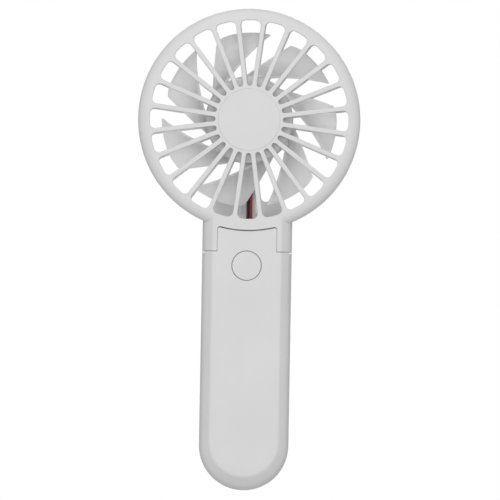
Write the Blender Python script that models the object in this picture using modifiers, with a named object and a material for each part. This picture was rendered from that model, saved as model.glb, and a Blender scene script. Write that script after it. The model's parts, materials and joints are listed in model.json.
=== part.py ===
"""Handheld electric fan with a folding head.

Metres, +Z up along the handle to the head, the front facing -Y, +X to the right seen from the front.
The origin is in the middle of the grip. The head folds back about a hinge between its two ears, the
impeller turns about the head's own axis, and the button travels straight in.
"""

import math

import bmesh
import bpy
from mathutils import Matrix

for leftover in list(bpy.data.objects):
    bpy.data.objects.remove(leftover, do_unlink=True)

# Driving dimensions
HEAD_Z = 0.104  # centre of the round head above the middle of the grip
HEAD_RADIUS = 0.046
HEAD_BACK_Y = 0.0198
FRONT_Y = -0.0112  # one plane: hub, ears, tongue and handle are flush
BACK_Y = 0.0112  # back of the handle
HANDLE_HALF_WIDTH = 0.0185
HANDLE_END_Z = HEAD_Z - 0.1349  # centre of the semicircular end
EDGE_ROUND = 0.0046
WALL = 0.0016
GAP = 0.0003
SPLIT_Y = 0.0020  # the mould split, where the front and rear shells meet

TONGUE_HALF_WIDTH = 0.0121
EAR_INNER_X = 0.01245
TONGUE_TOP_RADIUS = 0.0463  # the tongue's top is an arc about the head's centre
POCKET_RADIUS = 0.0457  # and so is the pocket above it
AXIS_Z = HEAD_Z - 0.0503  # the hinge, close to the back of the handle
AXIS_Y = BACK_Y - 0.0042
EAR_ROUND = 0.0041  # the ears end this far from the hinge's axis
SHOULDER_Z = AXIS_Z - 0.0045
PIN_RADIUS = 0.0016

SLOT_COUNT = 24
SPOKE_HALF_WIDTH = 0.00098
SLOT_END_RADIUS = 0.0415
SLOT_CORNER = 0.0021
PLATE = 0.0025  # thickness of both grilles

HUB_RADIUS = 0.01815
BLADE_TIP_RADIUS = 0.0362
BLADE_COUNT = 7
BUTTON_Z = HEAD_Z - 0.0604
BUTTON_RADIUS = 0.00595
MOTOR_RADIUS = 0.0122
MOTOR_FRONT_Y = -0.0025
MOTOR_BACK_Y = 0.0098
SHAFT_RADIUS = 0.0010
CELL_RADIUS = 0.00915
CELL_TOP_Z = HEAD_Z - 0.0725
CELL_BOTTOM_Z = HEAD_Z - 0.1375
SOCKET_Y = SPLIT_Y + GAP / 2
LEAD_RADIUS = 0.00055

HEAD_CENTRE = (0, 0, HEAD_Z)
HINGE = (0, AXIS_Y, AXIS_Z)
FAR = 0.09  # past the object on every side, for cutters
FACING = {
    "FRONT": (math.radians(90), 0, 0),
    "UP": (0, 0, 0),
    "RIGHT": (math.radians(90), 0, math.radians(90)),
}

fan = bpy.data.collections.new("handheld_fan")
cutters = bpy.data.collections.new("cutters")
for group in (fan, cutters):
    bpy.context.scene.collection.children.link(group)


# Shapes


def place(obj, spot=(0, 0, 0), facing="UP"):
    cutters.objects.link(obj)
    obj.location = spot
    obj.rotation_euler = FACING[facing]
    obj.hide_render = True
    obj.display_type = "WIRE"
    return obj


def block(name, low, high):
    """A box between two corners, with its origin at its middle."""
    middle = [(a + b) / 2 for a, b in zip(low, high)]
    shape = bmesh.new()
    bmesh.ops.create_cube(shape, size=1)
    bmesh.ops.scale(shape, vec=[b - a for a, b in zip(low, high)], verts=shape.verts)
    mesh = bpy.data.meshes.new(name)
    shape.to_mesh(mesh)
    shape.free()
    return place(bpy.data.objects.new(name, mesh), middle)


def turned(name, profile, spot, facing="FRONT", steps=32):
    """A turned solid. The profile holds (radius, height) down its outer side, and height is along facing."""
    mesh = bpy.data.meshes.new(name)
    start = math.pi / steps  # half a step, so that a flat side and not an edge faces each axis
    across, along = math.cos(start), math.sin(start)
    edges = [(i, i + 1) for i in range(len(profile) - 1)]
    if profile[0][0] > 0:
        edges.append((len(profile) - 1, 0))
    mesh.from_pydata([(radius * across, radius * along, height) for radius, height in profile], edges, [])
    obj = place(bpy.data.objects.new(name, mesh), spot, facing)
    screw = obj.modifiers.new("turn", "SCREW")
    screw.steps = screw.render_steps = steps
    screw.use_merge_vertices = True
    screw.merge_threshold = 0.00001
    screw.use_smooth_shade = True
    return obj


def rod(name, radius, top, bottom, spot, facing="FRONT", steps=12):
    """A cylinder that reaches from bottom to top, measured from the spot along facing."""
    shape = bmesh.new()
    middle = Matrix.Translation((0, 0, (top + bottom) / 2))
    form = {"radius1": radius, "radius2": radius, "depth": top - bottom, "matrix": middle}
    bmesh.ops.create_cone(shape, cap_ends=True, segments=steps, **form)
    mesh = bpy.data.meshes.new(name)
    shape.to_mesh(mesh)
    shape.free()
    return place(bpy.data.objects.new(name, mesh), spot, facing)


def ring(name, outer, inner, top, bottom, spot, facing="FRONT", steps=16):
    profile = [(outer, top), (outer, bottom), (inner, bottom), (inner, top)]
    return turned(name, profile, spot, facing, steps)


def flat(name, loops, near, far, facing="FRONT"):
    """A flat outline, holes included, that runs from near to far along the axis it faces."""
    curve = bpy.data.curves.new(name, "CURVE")
    curve.dimensions = "2D"
    curve.fill_mode = "BOTH"
    curve.extrude = (far - near) / 2
    for loop in loops:
        spline = curve.splines.new("POLY")
        spline.points.add(len(loop) - 1)
        for point, (across, along) in zip(spline.points, loop):
            point.co = (across, along, 0, 1)
        spline.use_cyclic_u = True
    middle = (near + far) / 2
    spot = {"FRONT": (0, middle, 0), "UP": (0, 0, middle), "RIGHT": (middle, 0, 0)}[facing]
    drawn = place(bpy.data.objects.new(name, curve), spot, facing)
    mesh = plain_mesh(drawn)
    shape = bmesh.new()
    shape.from_mesh(mesh)
    bmesh.ops.remove_doubles(shape, verts=shape.verts, dist=0.000001)
    bmesh.ops.dissolve_limit(shape, angle_limit=0.01, verts=shape.verts, edges=shape.edges)
    bmesh.ops.recalc_face_normals(shape, faces=shape.faces)
    shape.to_mesh(mesh)
    shape.free()
    bpy.data.objects.remove(drawn)
    return place(bpy.data.objects.new(name, mesh), spot, facing)


def wire(name, route, radius, step=0.007):
    """A wire along a smooth curve through the route's points."""
    first = [2 * a - b for a, b in zip(route[0], route[1])]
    last = [2 * a - b for a, b in zip(route[-1], route[-2])]
    knots = [first, *route, last]
    points = []
    for before, start, stop, after in zip(knots, knots[1:], knots[2:], knots[3:]):
        count = max(1, round(math.dist(start, stop) / step))
        for t in (i / count for i in range(count)):
            points.append([
                b + 0.5 * t * ((c - a) + t * ((2 * a - 5 * b + 4 * c - d) + t * (3 * b - a - 3 * c + d)))
                for a, b, c, d in zip(before, start, stop, after)
            ])
    points.append(route[-1])
    curve = bpy.data.curves.new(name, "CURVE")
    curve.dimensions = "3D"
    curve.bevel_depth = radius
    curve.bevel_resolution = 2
    curve.use_fill_caps = True
    spline = curve.splines.new("POLY")
    spline.points.add(len(points) - 1)
    for knot, point in zip(spline.points, points):
        knot.co = (*point, 1)
    return place(bpy.data.objects.new(name, curve))


def polar(radius, angle, centre=(0, 0)):
    """A point at an angle in degrees, clockwise from straight up."""
    turn = math.radians(angle)
    return centre[0] + radius * math.sin(turn), centre[1] + radius * math.cos(turn)


def arc(radius, start, stop, count, centre=(0, 0)):
    return [polar(radius, start + (stop - start) * i / count, centre) for i in range(count + 1)]


def circle(radius, count, centre=(0, 0)):
    return arc(radius, 0, 360, count, centre)[:-1]


def plain_mesh(obj):
    """The mesh of an object with its modifiers applied."""
    bpy.context.view_layer.update()
    graph = bpy.context.evaluated_depsgraph_get()
    return bpy.data.meshes.new_from_object(obj.evaluated_get(graph))


def combine(obj, operation, others):
    for other in others:
        step = obj.modifiers.new(other.name, "BOOLEAN")
        step.operation = operation
        step.object = other
    return obj


def cut(obj, *others):
    return combine(obj, "DIFFERENCE", others)


def join(obj, *others):
    return combine(obj, "UNION", others)


def finish(obj, material):
    """Moves a finished piece from the cutters to the fan and gives it its material."""
    cutters.objects.unlink(obj)
    fan.objects.link(obj)
    obj.hide_render = False
    obj.display_type = "TEXTURED"
    obj.data.materials.clear()
    obj.data.materials.append(material)
    if obj.type == "MESH" and len(obj.data.polygons):
        obj.data.shade_smooth()
        obj.data.set_sharp_from_angle(angle=math.radians(35))
    return obj


def carry(name, spot, pieces):
    """Parents the pieces to an empty on their joint's axis, without moving them."""
    axis = bpy.data.objects.new(name, None)
    axis.location = spot
    fan.objects.link(axis)
    bpy.context.view_layer.update()
    for piece in pieces:
        piece.parent = axis
        piece.matrix_parent_inverse = axis.matrix_world.inverted()
    return axis


def finish_material(name, colour, roughness, metallic=0.0):
    material = bpy.data.materials.new(name)
    material.use_nodes = True
    shader = material.node_tree.nodes["Principled BSDF"]
    shader.inputs["Base Color"].default_value = (*colour, 1)
    shader.inputs["Roughness"].default_value = roughness
    shader.inputs["Metallic"].default_value = metallic
    return material


shell_plastic = finish_material("shell_plastic", (0.66, 0.65, 0.64), 0.55)
blade_plastic = finish_material("blade_plastic", (0.72, 0.72, 0.71), 0.40)
inner_plastic = finish_material("inner_plastic", (0.80, 0.79, 0.76), 0.50)
dark_plastic = finish_material("dark_plastic", (0.03, 0.03, 0.03), 0.45)
steel = finish_material("steel", (0.55, 0.55, 0.56), 0.30, 1.0)
bronze = finish_material("bronze", (0.50, 0.33, 0.16), 0.45, 1.0)
copper = finish_material("copper", (0.72, 0.33, 0.15), 0.35, 1.0)
nickel = finish_material("nickel", (0.62, 0.60, 0.56), 0.35, 1.0)
ferrite = finish_material("ferrite", (0.06, 0.06, 0.065), 0.60)
carbon = finish_material("carbon", (0.02, 0.02, 0.02), 0.70)
board_green = finish_material("board_green", (0.02, 0.16, 0.07), 0.45)
cell_wrap = finish_material("cell_wrap", (0.05, 0.20, 0.45), 0.35)
clear_lens = finish_material("clear_lens", (0.85, 0.88, 0.90), 0.15)
lead_black = finish_material("lead_black", (0.02, 0.02, 0.02), 0.50)
lead_red = finish_material("lead_red", (0.45, 0.02, 0.04), 0.50)


# Handle: two shells that share one outer form and one inner form


def handle_bar(name, inset):
    """The long rounded bar that the handle and the ears are both cut from."""
    half = HANDLE_HALF_WIDTH - inset
    top = HEAD_Z - 0.030
    loop = [(-half, top), (half, top), *arc(half, 90, 270, 16, (0, HANDLE_END_Z))]
    bar = flat(name, [loop], FRONT_Y + inset, BACK_Y - inset)
    edge = bar.modifiers.new("edge_round", "BEVEL")
    edge.width = EDGE_ROUND - inset
    edge.segments = 3
    edge.limit_method = "ANGLE"
    edge.angle_limit = math.radians(60)
    edge.use_clamp_overlap = False
    return bar


def handle_form(name, inset):
    """The bar with its shoulders cut down and the tongue left between them, all set in by inset."""
    side, top = TONGUE_HALF_WIDTH - inset, SHOULDER_Z - inset
    arc_radius = TONGUE_TOP_RADIUS + inset
    crown_x = 0.013

    def crown_radius(x):
        return HEAD_Z - math.sqrt(arc_radius**2 - x**2) - AXIS_Z

    stations = [crown_x * (1 - i / 6) for i in range(13)]
    profile = [(0, crown_x), *((crown_radius(x), x) for x in stations), (0, -crown_x)]
    crown = cut(
        block(name + "_crown", (-crown_x, AXIS_Y, AXIS_Z), (crown_x, FAR, FAR)),
        turned(name + "_spool", profile, HINGE, "RIGHT", 24),
    )
    return cut(
        handle_bar(name, inset),
        block(name + "_left_notch", (-FAR, -FAR, top), (-side, FAR, FAR)),
        block(name + "_right_notch", (side, -FAR, top), (FAR, FAR, FAR)),
        rod(name + "_head_clearance", arc_radius, FAR, -FAR, HEAD_CENTRE, steps=144),
        crown,
    )


case_screw_x = 0.0126
case_screw_spots = [
    (side * case_screw_x, z) for z in (HEAD_Z - 0.0605, HEAD_Z - 0.1330) for side in (-1, 1)
]
board_screw_spots = [(-0.0080, HEAD_Z - 0.0675), (0.0080, HEAD_Z - 0.0675)]
boss_radius, screw_hole = 0.0021, 0.0011
board_y = -0.0043  # front face of the control board
handle_hollow = handle_form("handle_hollow", WALL)
behind_split = block("behind_split", (-FAR, SPLIT_Y, -FAR), (FAR, FAR, 2 * FAR))
ahead_of_split = block("ahead_of_split", (-FAR, -FAR, -FAR), (FAR, SPLIT_Y + GAP, 2 * FAR))
socket_hole = block(
    "socket_hole",
    (-0.0048, SOCKET_Y - 0.0019, HANDLE_END_Z - FAR),
    (0.0048, SOCKET_Y + 0.0019, HANDLE_END_Z - 0.012),
)
light_x = 0.0085
light_hole = rod("light_hole", 0.0012, -0.012, -FAR, (light_x, SOCKET_Y, HANDLE_END_Z), "UP")


def make_front_cover():
    cover = cut(handle_form("handle_front_cover", 0), handle_hollow)
    for n, (x, z) in enumerate(case_screw_spots):
        join(cover, rod(f"front_boss_{n}", boss_radius, 0.0104, -FAR / 9, (x, 0, z)))
    for n, (x, z) in enumerate(board_screw_spots):
        join(cover, rod(f"board_boss_{n}", 0.0017, 0.0104, -board_y + GAP, (x, 0, z)))
    cut(cover, behind_split, socket_hole, light_hole)
    cut(cover, rod("button_hole", BUTTON_RADIUS + GAP, 0.013, 0.008, (0, 0, BUTTON_Z), steps=32))
    for n, (x, z) in enumerate(case_screw_spots):
        cut(cover, rod(f"front_screw_hole_{n}", screw_hole, 0.0075, -FAR, (x, 0, z)))
    for n, (x, z) in enumerate(board_screw_spots):
        cut(cover, rod(f"board_screw_hole_{n}", 0.0009, 0.0085, -FAR, (x, 0, z)))
    return finish(cover, shell_plastic)


def make_rear_cover():
    head_recess, recess_floor = 0.0019, -0.0099
    cover = cut(handle_form("handle_rear_cover", 0), handle_hollow)
    for n, (x, z) in enumerate(case_screw_spots):
        join(cover, rod(f"rear_boss_{n}", boss_radius, 0, -0.0104, (x, 0, z)))
    cut(cover, ahead_of_split, socket_hole, light_hole)
    for n, (x, z) in enumerate(case_screw_spots):
        cut(cover, rod(f"rear_screw_hole_{n}", screw_hole, FAR, -FAR, (x, 0, z)))
        cut(cover, rod(f"rear_screw_recess_{n}", head_recess, recess_floor, -FAR, (x, 0, z)))
    for side in (-1, 1):
        middle = side * (TONGUE_HALF_WIDTH - WALL / 2)
        cut(cover, rod(f"bush_hole_{side}", 0.0029, 0.0015, -0.0015, (middle, AXIS_Y, AXIS_Z), "RIGHT", 24))
    return finish(cover, shell_plastic)


def screw_profile(head_radius, head_height, shank_radius, length):
    """A pan-head screw from the top of its head to its flat tip, with a recess to turn it by."""
    drive, depth = head_radius * 0.45, head_height * 0.55
    return [
        (0, -depth),
        (drive, -depth),
        (drive, 0),
        (head_radius, 0),
        (head_radius, -head_height),
        (shank_radius, -head_height),
        (shank_radius, -length),
        (0, -length),
    ]


def make_screws(name, size, spots, backwards=True):
    """Like screws that all point one way: into the back of the fan, or into its front."""
    first = turned(name + "_1", screw_profile(*size), (0, 0, 0), steps=10)
    turn = math.radians(-90 if backwards else 90)
    screws = []
    for n, spot in enumerate(spots):
        screw = first if n == 0 else first.copy()
        screw.name = f"{name}_{n + 1}"
        if n:
            cutters.objects.link(screw)
        screw.location = spot
        screw.rotation_euler = (turn, 0, 0)
        screws.append(finish(screw, steel))
    return screws


def make_button():
    """A flush cap with a tab on either side behind the wall, which keep it in."""
    face, flange_front, flange_back = -FRONT_Y, 0.0093, 0.0085
    edge, tab_half = 0.0003, 0.0050
    profile = [
        (0, face),
        (BUTTON_RADIUS - edge, face),
        (BUTTON_RADIUS, face - edge),
        (BUTTON_RADIUS, flange_front),
        (0.0072, flange_front),
        (0.0072, flange_back),
        (0, flange_back),
    ]
    button = turned("power_button", profile, (0, 0, BUTTON_Z), steps=32)
    for side in (-1, 1):
        low, high = sorted((BUTTON_Z + side * tab_half, BUTTON_Z + side * FAR))
        cut(button, block("tab_side", (-FAR, -flange_front - 0.0001, low), (FAR, FAR, high)))
    return finish(button, shell_plastic)


def make_switch():
    """The switch under the button: a square body with a round plunger in it."""
    half, front = 0.0030, -0.0075
    body = block("switch_body", (-half, front, BUTTON_Z - half), (half, board_y - GAP, BUTTON_Z + half))
    cut(body, rod("plunger_bore", 0.0019, FAR, 0.0055, (0, 0, BUTTON_Z)))
    plunger = rod("switch_plunger", 0.0016, 0.0082, 0.0062, (0, 0, BUTTON_Z))
    return finish(body, dark_plastic), finish(plunger, dark_plastic)


def make_electronics():
    """The control board behind the button and the charge board with its socket at the lower end."""
    thick = 0.0010
    half_width, low, high = 0.0098, HEAD_Z - 0.0705, HEAD_Z - 0.0545
    board = block("control_board", (-half_width, board_y, low), (half_width, board_y + thick, high))
    for n, (x, z) in enumerate(board_screw_spots):
        cut(board, rod(f"board_hole_{n}", 0.0011, FAR, -FAR, (x, 0, z)))
    socket_half, socket_top = 0.00447, HANDLE_END_Z - 0.0109
    charge_front = SOCKET_Y + 0.0016 + GAP
    charge = block(
        "charge_board",
        (-0.0070, charge_front, socket_top - 0.0021),
        (0.0100, charge_front + thick, socket_top + 0.0060),
    )
    half_thick, shell = 0.0016, 0.0003
    loops = []
    for reach in (half_thick, half_thick - shell):
        ends = socket_half - half_thick
        right = arc(reach, 0, 180, 6, (ends, SOCKET_Y))
        left = arc(reach, 180, 360, 6, (-ends, SOCKET_Y))
        loops.append([*right, *left])
    socket = flat("usb_socket", loops, HANDLE_END_Z - 0.0178, socket_top, "UP")
    contacts = block(
        "usb_contact_bar",
        (-0.0033, SOCKET_Y - 0.00035, HANDLE_END_Z - 0.0168),
        (0.0033, SOCKET_Y + 0.00035, socket_top),
    )
    light = rod("charge_light", 0.0009, -0.0120, -0.0164, (light_x, SOCKET_Y, HANDLE_END_Z), "UP")
    return [
        finish(board, board_green),
        finish(charge, board_green),
        finish(socket, steel),
        finish(contacts, dark_plastic),
        finish(light, clear_lens),
    ]


def make_battery():
    """A round lithium cell with a welded tab at each end."""
    edge, button, step = 0.0008, 0.0032, 0.0004
    height = CELL_TOP_Z - CELL_BOTTOM_Z
    profile = [
        (0, height),
        (button, height),
        (button, height - step),
        (CELL_RADIUS - edge, height - step),
        (CELL_RADIUS, height - step - edge),
        (CELL_RADIUS, edge),
        (CELL_RADIUS - edge, 0),
        (0, 0),
    ]
    cell = turned("battery_cell", profile, (0, 0, CELL_BOTTOM_Z), "UP", 24)
    tab, thin = 0.0025, 0.0003
    top, bottom = CELL_TOP_Z + GAP, CELL_BOTTOM_Z - GAP
    positive = block("battery_tab_positive", (-tab, -tab, top), (tab, 0.0070, top + thin))
    negative = block("battery_tab_negative", (-tab, -tab, bottom - thin), (tab, 0.0070, bottom))
    return [finish(cell, cell_wrap), finish(positive, nickel), finish(negative, nickel)]


def make_hinge():
    """Bushes in the tongue, a spring clip that grips the left pin, and the pins, which turn with the ears."""
    outer_end, inner_end = 0.0160, 0.0052
    left = rod("hinge_pin_left", PIN_RADIUS, -inner_end, -outer_end, HINGE, "RIGHT", 20)
    right = ring("hinge_pin_right", PIN_RADIUS, 0.00127, 0.0141, 0.0094, HINGE, "RIGHT", 20)
    for name, near, far in (("left", -0.0100, -0.0119), ("right", 0.0119, 0.0100)):
        bush = ring("hinge_bush_" + name, 0.0026, PIN_RADIUS + 0.0001, near, far, HINGE, "RIGHT", 20)
        finish(bush, bronze)
    centre = (AXIS_Y, AXIS_Z)
    outer, inner, mouth = 0.0024, PIN_RADIUS + 0.0001, 25
    loop = arc(outer, 180 + mouth, 540 - mouth, 18, centre) + arc(inner, 540 - mouth, 180 + mouth, 18, centre)
    clip = flat("friction_clip", [loop], -0.0094, -0.0062, "RIGHT")
    finish(clip, steel)
    return [finish(left, steel), finish(right, steel)]


def head_route(points):
    """A route given from the head's centre, in millimetres."""
    return [(x / 1000, y / 1000, HEAD_Z + z / 1000) for x, y, z in points]


def make_handle_wires():
    black_y, red_y = 7.6, 6.4
    routes = {
        "handle_lead_black": (
            lead_black,
            [(8.6, black_y, -50.3), (7.0, black_y, -50.5), (5.0, 6.4, -51.8), (3.6, 3.2, -54.8),
             (3.2, -1.0, -58.0), (3.2, -2.6, -59.5)],
        ),
        "handle_lead_red": (
            lead_red,
            [(8.6, red_y, -50.3), (7.6, red_y, -50.5), (6.8, 5.0, -51.8), (6.2, 2.2, -54.8),
             (6.0, -1.0, -58.0), (6.0, -2.6, -59.5)],
        ),
        "battery_lead_positive": (
            lead_red,
            [(1.5, 8.0, -71.9), (1.6, 7.4, -70.2), (1.8, 4.0, -68.9), (2.0, 0.0, -68.2), (2.0, -2.6, -67.6)],
        ),
        "battery_lead_negative": (
            lead_black,
            [(3.6, 7.9, -138.3), (7.0, 7.6, -137.6), (9.0, 7.2, -134.0), (9.2, 7.0, -128.0),
             (9.2, 7.0, -76.0), (8.6, 5.6, -71.6), (6.4, 1.5, -68.8), (5.6, -2.6, -67.8)],
        ),
    }
    charge_leads = (("charge_lead_black", lead_black, 0.0), ("charge_lead_red", lead_red, 1.6))
    for name, material, shift in charge_leads:
        routes[name] = (
            material,
            [(-2.6 - shift, 5.9, -143.0), (-5.8 - shift, 7.3, -140.0), (-7.6 - shift, 7.2, -135.0),
             (-8.2 - shift, 7.1, -128.0), (-8.2 - shift, 7.1, -76.0), (-7.0 - shift, 5.8, -71.9),
             (-3.8 - shift, 1.4, -69.2), (-3.0 - shift, -2.6, -68.0)],
        )
    for name, (material, points) in routes.items():
        finish(wire(name, head_route(points), 0.0005), material)


# Head: two shells cut from one outer form and one hollow, joined on the mould split


def head_profile(radius, front, back, round_width, round_depth, count=3):
    """Down the outside of a drum whose two rims are rounded by quarter ellipses."""
    start = radius - round_width
    quarter = [math.radians(90 * i / count) for i in range(count + 1)]
    front_rim = []
    for turn in quarter:
        front_rim.append((start + round_width * math.sin(turn), front - round_depth * (1 - math.cos(turn))))
    back_rim = [(r, back + (front - h)) for r, h in reversed(front_rim)]
    return [(0, front), *front_rim, *back_rim, (0, back)]


def head_form(name):
    """The drum with the neck below it, which ends in the two ears."""
    ear_bottom = AXIS_Z - EAR_ROUND
    neck = cut(
        handle_bar(name + "_neck", 0),
        block(name + "_below_ears", (-FAR, -FAR, -FAR), (FAR, FAR, ear_bottom)),
        rod(name + "_neck_clearance", HEAD_RADIUS - 0.0030, FAR, -FAR, HEAD_CENTRE, steps=72),
        block(name + "_behind_ears", (-FAR, AXIS_Y + EAR_ROUND, -FAR), (FAR, FAR, FAR)),
        cut(
            block(name + "_heel", (-FAR, AXIS_Y, -FAR), (FAR, FAR, AXIS_Z)),
            rod(name + "_ear_round", EAR_ROUND, FAR, -FAR, HINGE, "RIGHT", 48),
        ),
    )
    profile = head_profile(HEAD_RADIUS, -FRONT_Y, -HEAD_BACK_Y, 0.0047, 0.0030)
    return join(turned(name, profile, HEAD_CENTRE, steps=64), neck)


head_wall = 0.0016
head_hollow = turned(
    "head_hollow",
    head_profile(HEAD_RADIUS - head_wall, -FRONT_Y - PLATE, -HEAD_BACK_Y + PLATE, 0.0024, 0.0034, 2),
    HEAD_CENTRE,
    steps=40,
)
tongue_pocket = cut(
    block("tongue_pocket", (-EAR_INNER_X, -FAR, -FAR), (EAR_INNER_X, FAR, HEAD_Z - 0.036)),
    rod("pocket_top", POCKET_RADIUS, 2 * FAR, -2 * FAR, HEAD_CENTRE, steps=144),
)
lead_passage = block(
    "lead_passage", (0.0143, 0.0040, HEAD_Z - 0.0517), (0.0170, 0.0090, HEAD_Z - 0.0390)
)
ear_cores = [
    block(f"ear_core_{side}", (low, -0.0080, HEAD_Z - 0.0520), (high, 0.0040 - GAP, HEAD_Z - 0.0455))
    for side, low, high in (("left", -0.0170, -0.0143), ("right", 0.0143, 0.0170))
]
rim_boss_radius = 0.0020
rim_screw_spots = [polar(0.0429, angle, (0, HEAD_Z)) for angle in (37.5, 142.5, 217.5, 322.5)]
lug_x = 0.0147


def slot(angle, inner_end, outer_end):
    """One slot between two parallel-sided spokes: a round inner end, an arc with two corners outside."""
    half_pitch = 180 / SLOT_COUNT
    pitch_sine = math.sin(math.radians(half_pitch))
    apex = SPOKE_HALF_WIDTH / pitch_sine
    inner_round = (inner_end - apex) * pitch_sine / (1 - pitch_sine)
    corner_centre = outer_end - SLOT_CORNER
    corner_offset = math.degrees(math.asin((SPOKE_HALF_WIDTH + SLOT_CORNER) / corner_centre))
    corner_angle = half_pitch - corner_offset
    right = arc(SLOT_CORNER, corner_angle, 90 + half_pitch, 3, polar(corner_centre, corner_angle))
    right += arc(inner_round, 90 + half_pitch, 180, 2, (0, inner_end + inner_round))
    left = [(-x, z) for x, z in reversed(right[:-1])]
    top = arc(outer_end, -corner_angle, corner_angle, 2)[1:-1]
    turn = math.radians(angle)
    return [
        (x * math.cos(turn) + z * math.sin(turn), HEAD_Z - x * math.sin(turn) + z * math.cos(turn))
        for x, z in right + left + top
    ]


def make_front_grille():
    grille = cut(head_form("front_grille"), head_hollow)
    for n, (x, z) in enumerate(rim_screw_spots):
        join(grille, rod(f"rim_boss_{n}", rim_boss_radius, 0.0090, -FAR / 9, (x, 0, z)))
    slots = [slot(360 * i / SLOT_COUNT, 0.0140, SLOT_END_RADIUS) for i in range(SLOT_COUNT)]
    cut(
        grille,
        behind_split,
        tongue_pocket,
        flat("front_slots", slots, FRONT_Y - 0.002, FRONT_Y + PLATE + 0.002),
        rod("cap_recess", 0.01295, 0.013, -FRONT_Y - 0.0013, HEAD_CENTRE, steps=36),
        *ear_cores,
    )
    for n, (x, z) in enumerate(rim_screw_spots):
        cut(grille, rod(f"rim_screw_hole_{n}", screw_hole, 0.0055, -FAR, (x, 0, z)))
    return finish(grille, shell_plastic)


def make_hub_cap():
    radius, face, edge = 0.01265, -FRONT_Y, 0.0002
    back = face - 0.0010
    profile = [(0, face), (radius - edge, face), (radius, face - edge), (radius, back), (0, back)]
    return finish(turned("hub_cap", profile, HEAD_CENTRE, steps=36), shell_plastic)


# The motor's cup and lugs reach ahead of the mould split, so inside the hub only the front plate is cut.
ahead_of_split_at_rim = cut(
    block("ahead_of_split_at_rim", (-FAR, -FAR, -FAR), (FAR, SPLIT_Y + GAP, 2 * FAR)),
    rod("cup_keep", HUB_RADIUS, 0.0050, -SPLIT_Y - GAP - 0.0010, HEAD_CENTRE, steps=40),
)


def make_rear_grille():
    """The rear shell: the motor's cup and its lugs, the lead channel, and no slot where the channel runs."""
    inside = HEAD_BACK_Y - PLATE
    cup_inner, cup_outer, embed = MOTOR_RADIUS + GAP, 0.0139, 0.0006
    grille = cut(head_form("rear_grille"), head_hollow)
    join(grille, ring("motor_cup", cup_outer, cup_inner, 0.0, -inside - embed, HEAD_CENTRE, steps=28))
    for side in (-1, 1):
        low, high = sorted((side * (cup_inner + 0.0006), side * (lug_x + 0.0016)))
        lug = block(
            f"motor_lug_{side}",
            (low, MOTOR_FRONT_Y, HEAD_Z - 0.0019),
            (high, inside + embed, HEAD_Z + 0.0019),
        )
        rib_low, rib_high = sorted((side * 0.0030, side * 0.0038))
        rib = block(
            f"channel_rib_{side}",
            (rib_low, 0.0140, HEAD_Z - 0.0386),
            (rib_high, inside + embed, HEAD_Z - 0.0130),
        )
        join(grille, lug, rib)
    for n, (x, z) in enumerate(rim_screw_spots):
        join(grille, rod(f"rim_post_{n}", rim_boss_radius, 0, -0.0176, (x, 0, z)))
    slots = []
    for i in range(SLOT_COUNT):
        from_bottom = abs(i - SLOT_COUNT // 2)
        if from_bottom:
            end = 0.0345 if from_bottom == 1 else 0.0422
            slots.append(slot(360 * i / SLOT_COUNT, 0.0154, end))
    cut(
        grille,
        ahead_of_split_at_rim,
        tongue_pocket,
        flat("rear_slots", slots, inside - 0.0004, HEAD_BACK_Y + 0.002),
        block("lead_notch", (-0.0022, 0.0125, HEAD_Z - 0.0150), (0.0034, inside, HEAD_Z - 0.0110)),
        lead_passage,
        rod("left_pin_bore", PIN_RADIUS + GAP, 0, -0.0162, HINGE, "RIGHT", 24),
        rod("right_pin_bore", PIN_RADIUS + GAP, 0.0150, 0, HINGE, "RIGHT", 24),
    )
    for side in (-1, 1):
        spot = (side * lug_x, 0, HEAD_Z)
        cut(grille, rod(f"lug_hole_{side}", 0.0009, FAR, -0.0040, spot))
    for n, (x, z) in enumerate(rim_screw_spots):
        cut(grille, rod(f"post_hole_{n}", screw_hole, FAR, -FAR, (x, 0, z)))
        cut(grille, rod(f"post_recess_{n}", 0.00155, -0.0140, -FAR, (x, 0, z)))
    return finish(grille, shell_plastic)


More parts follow.
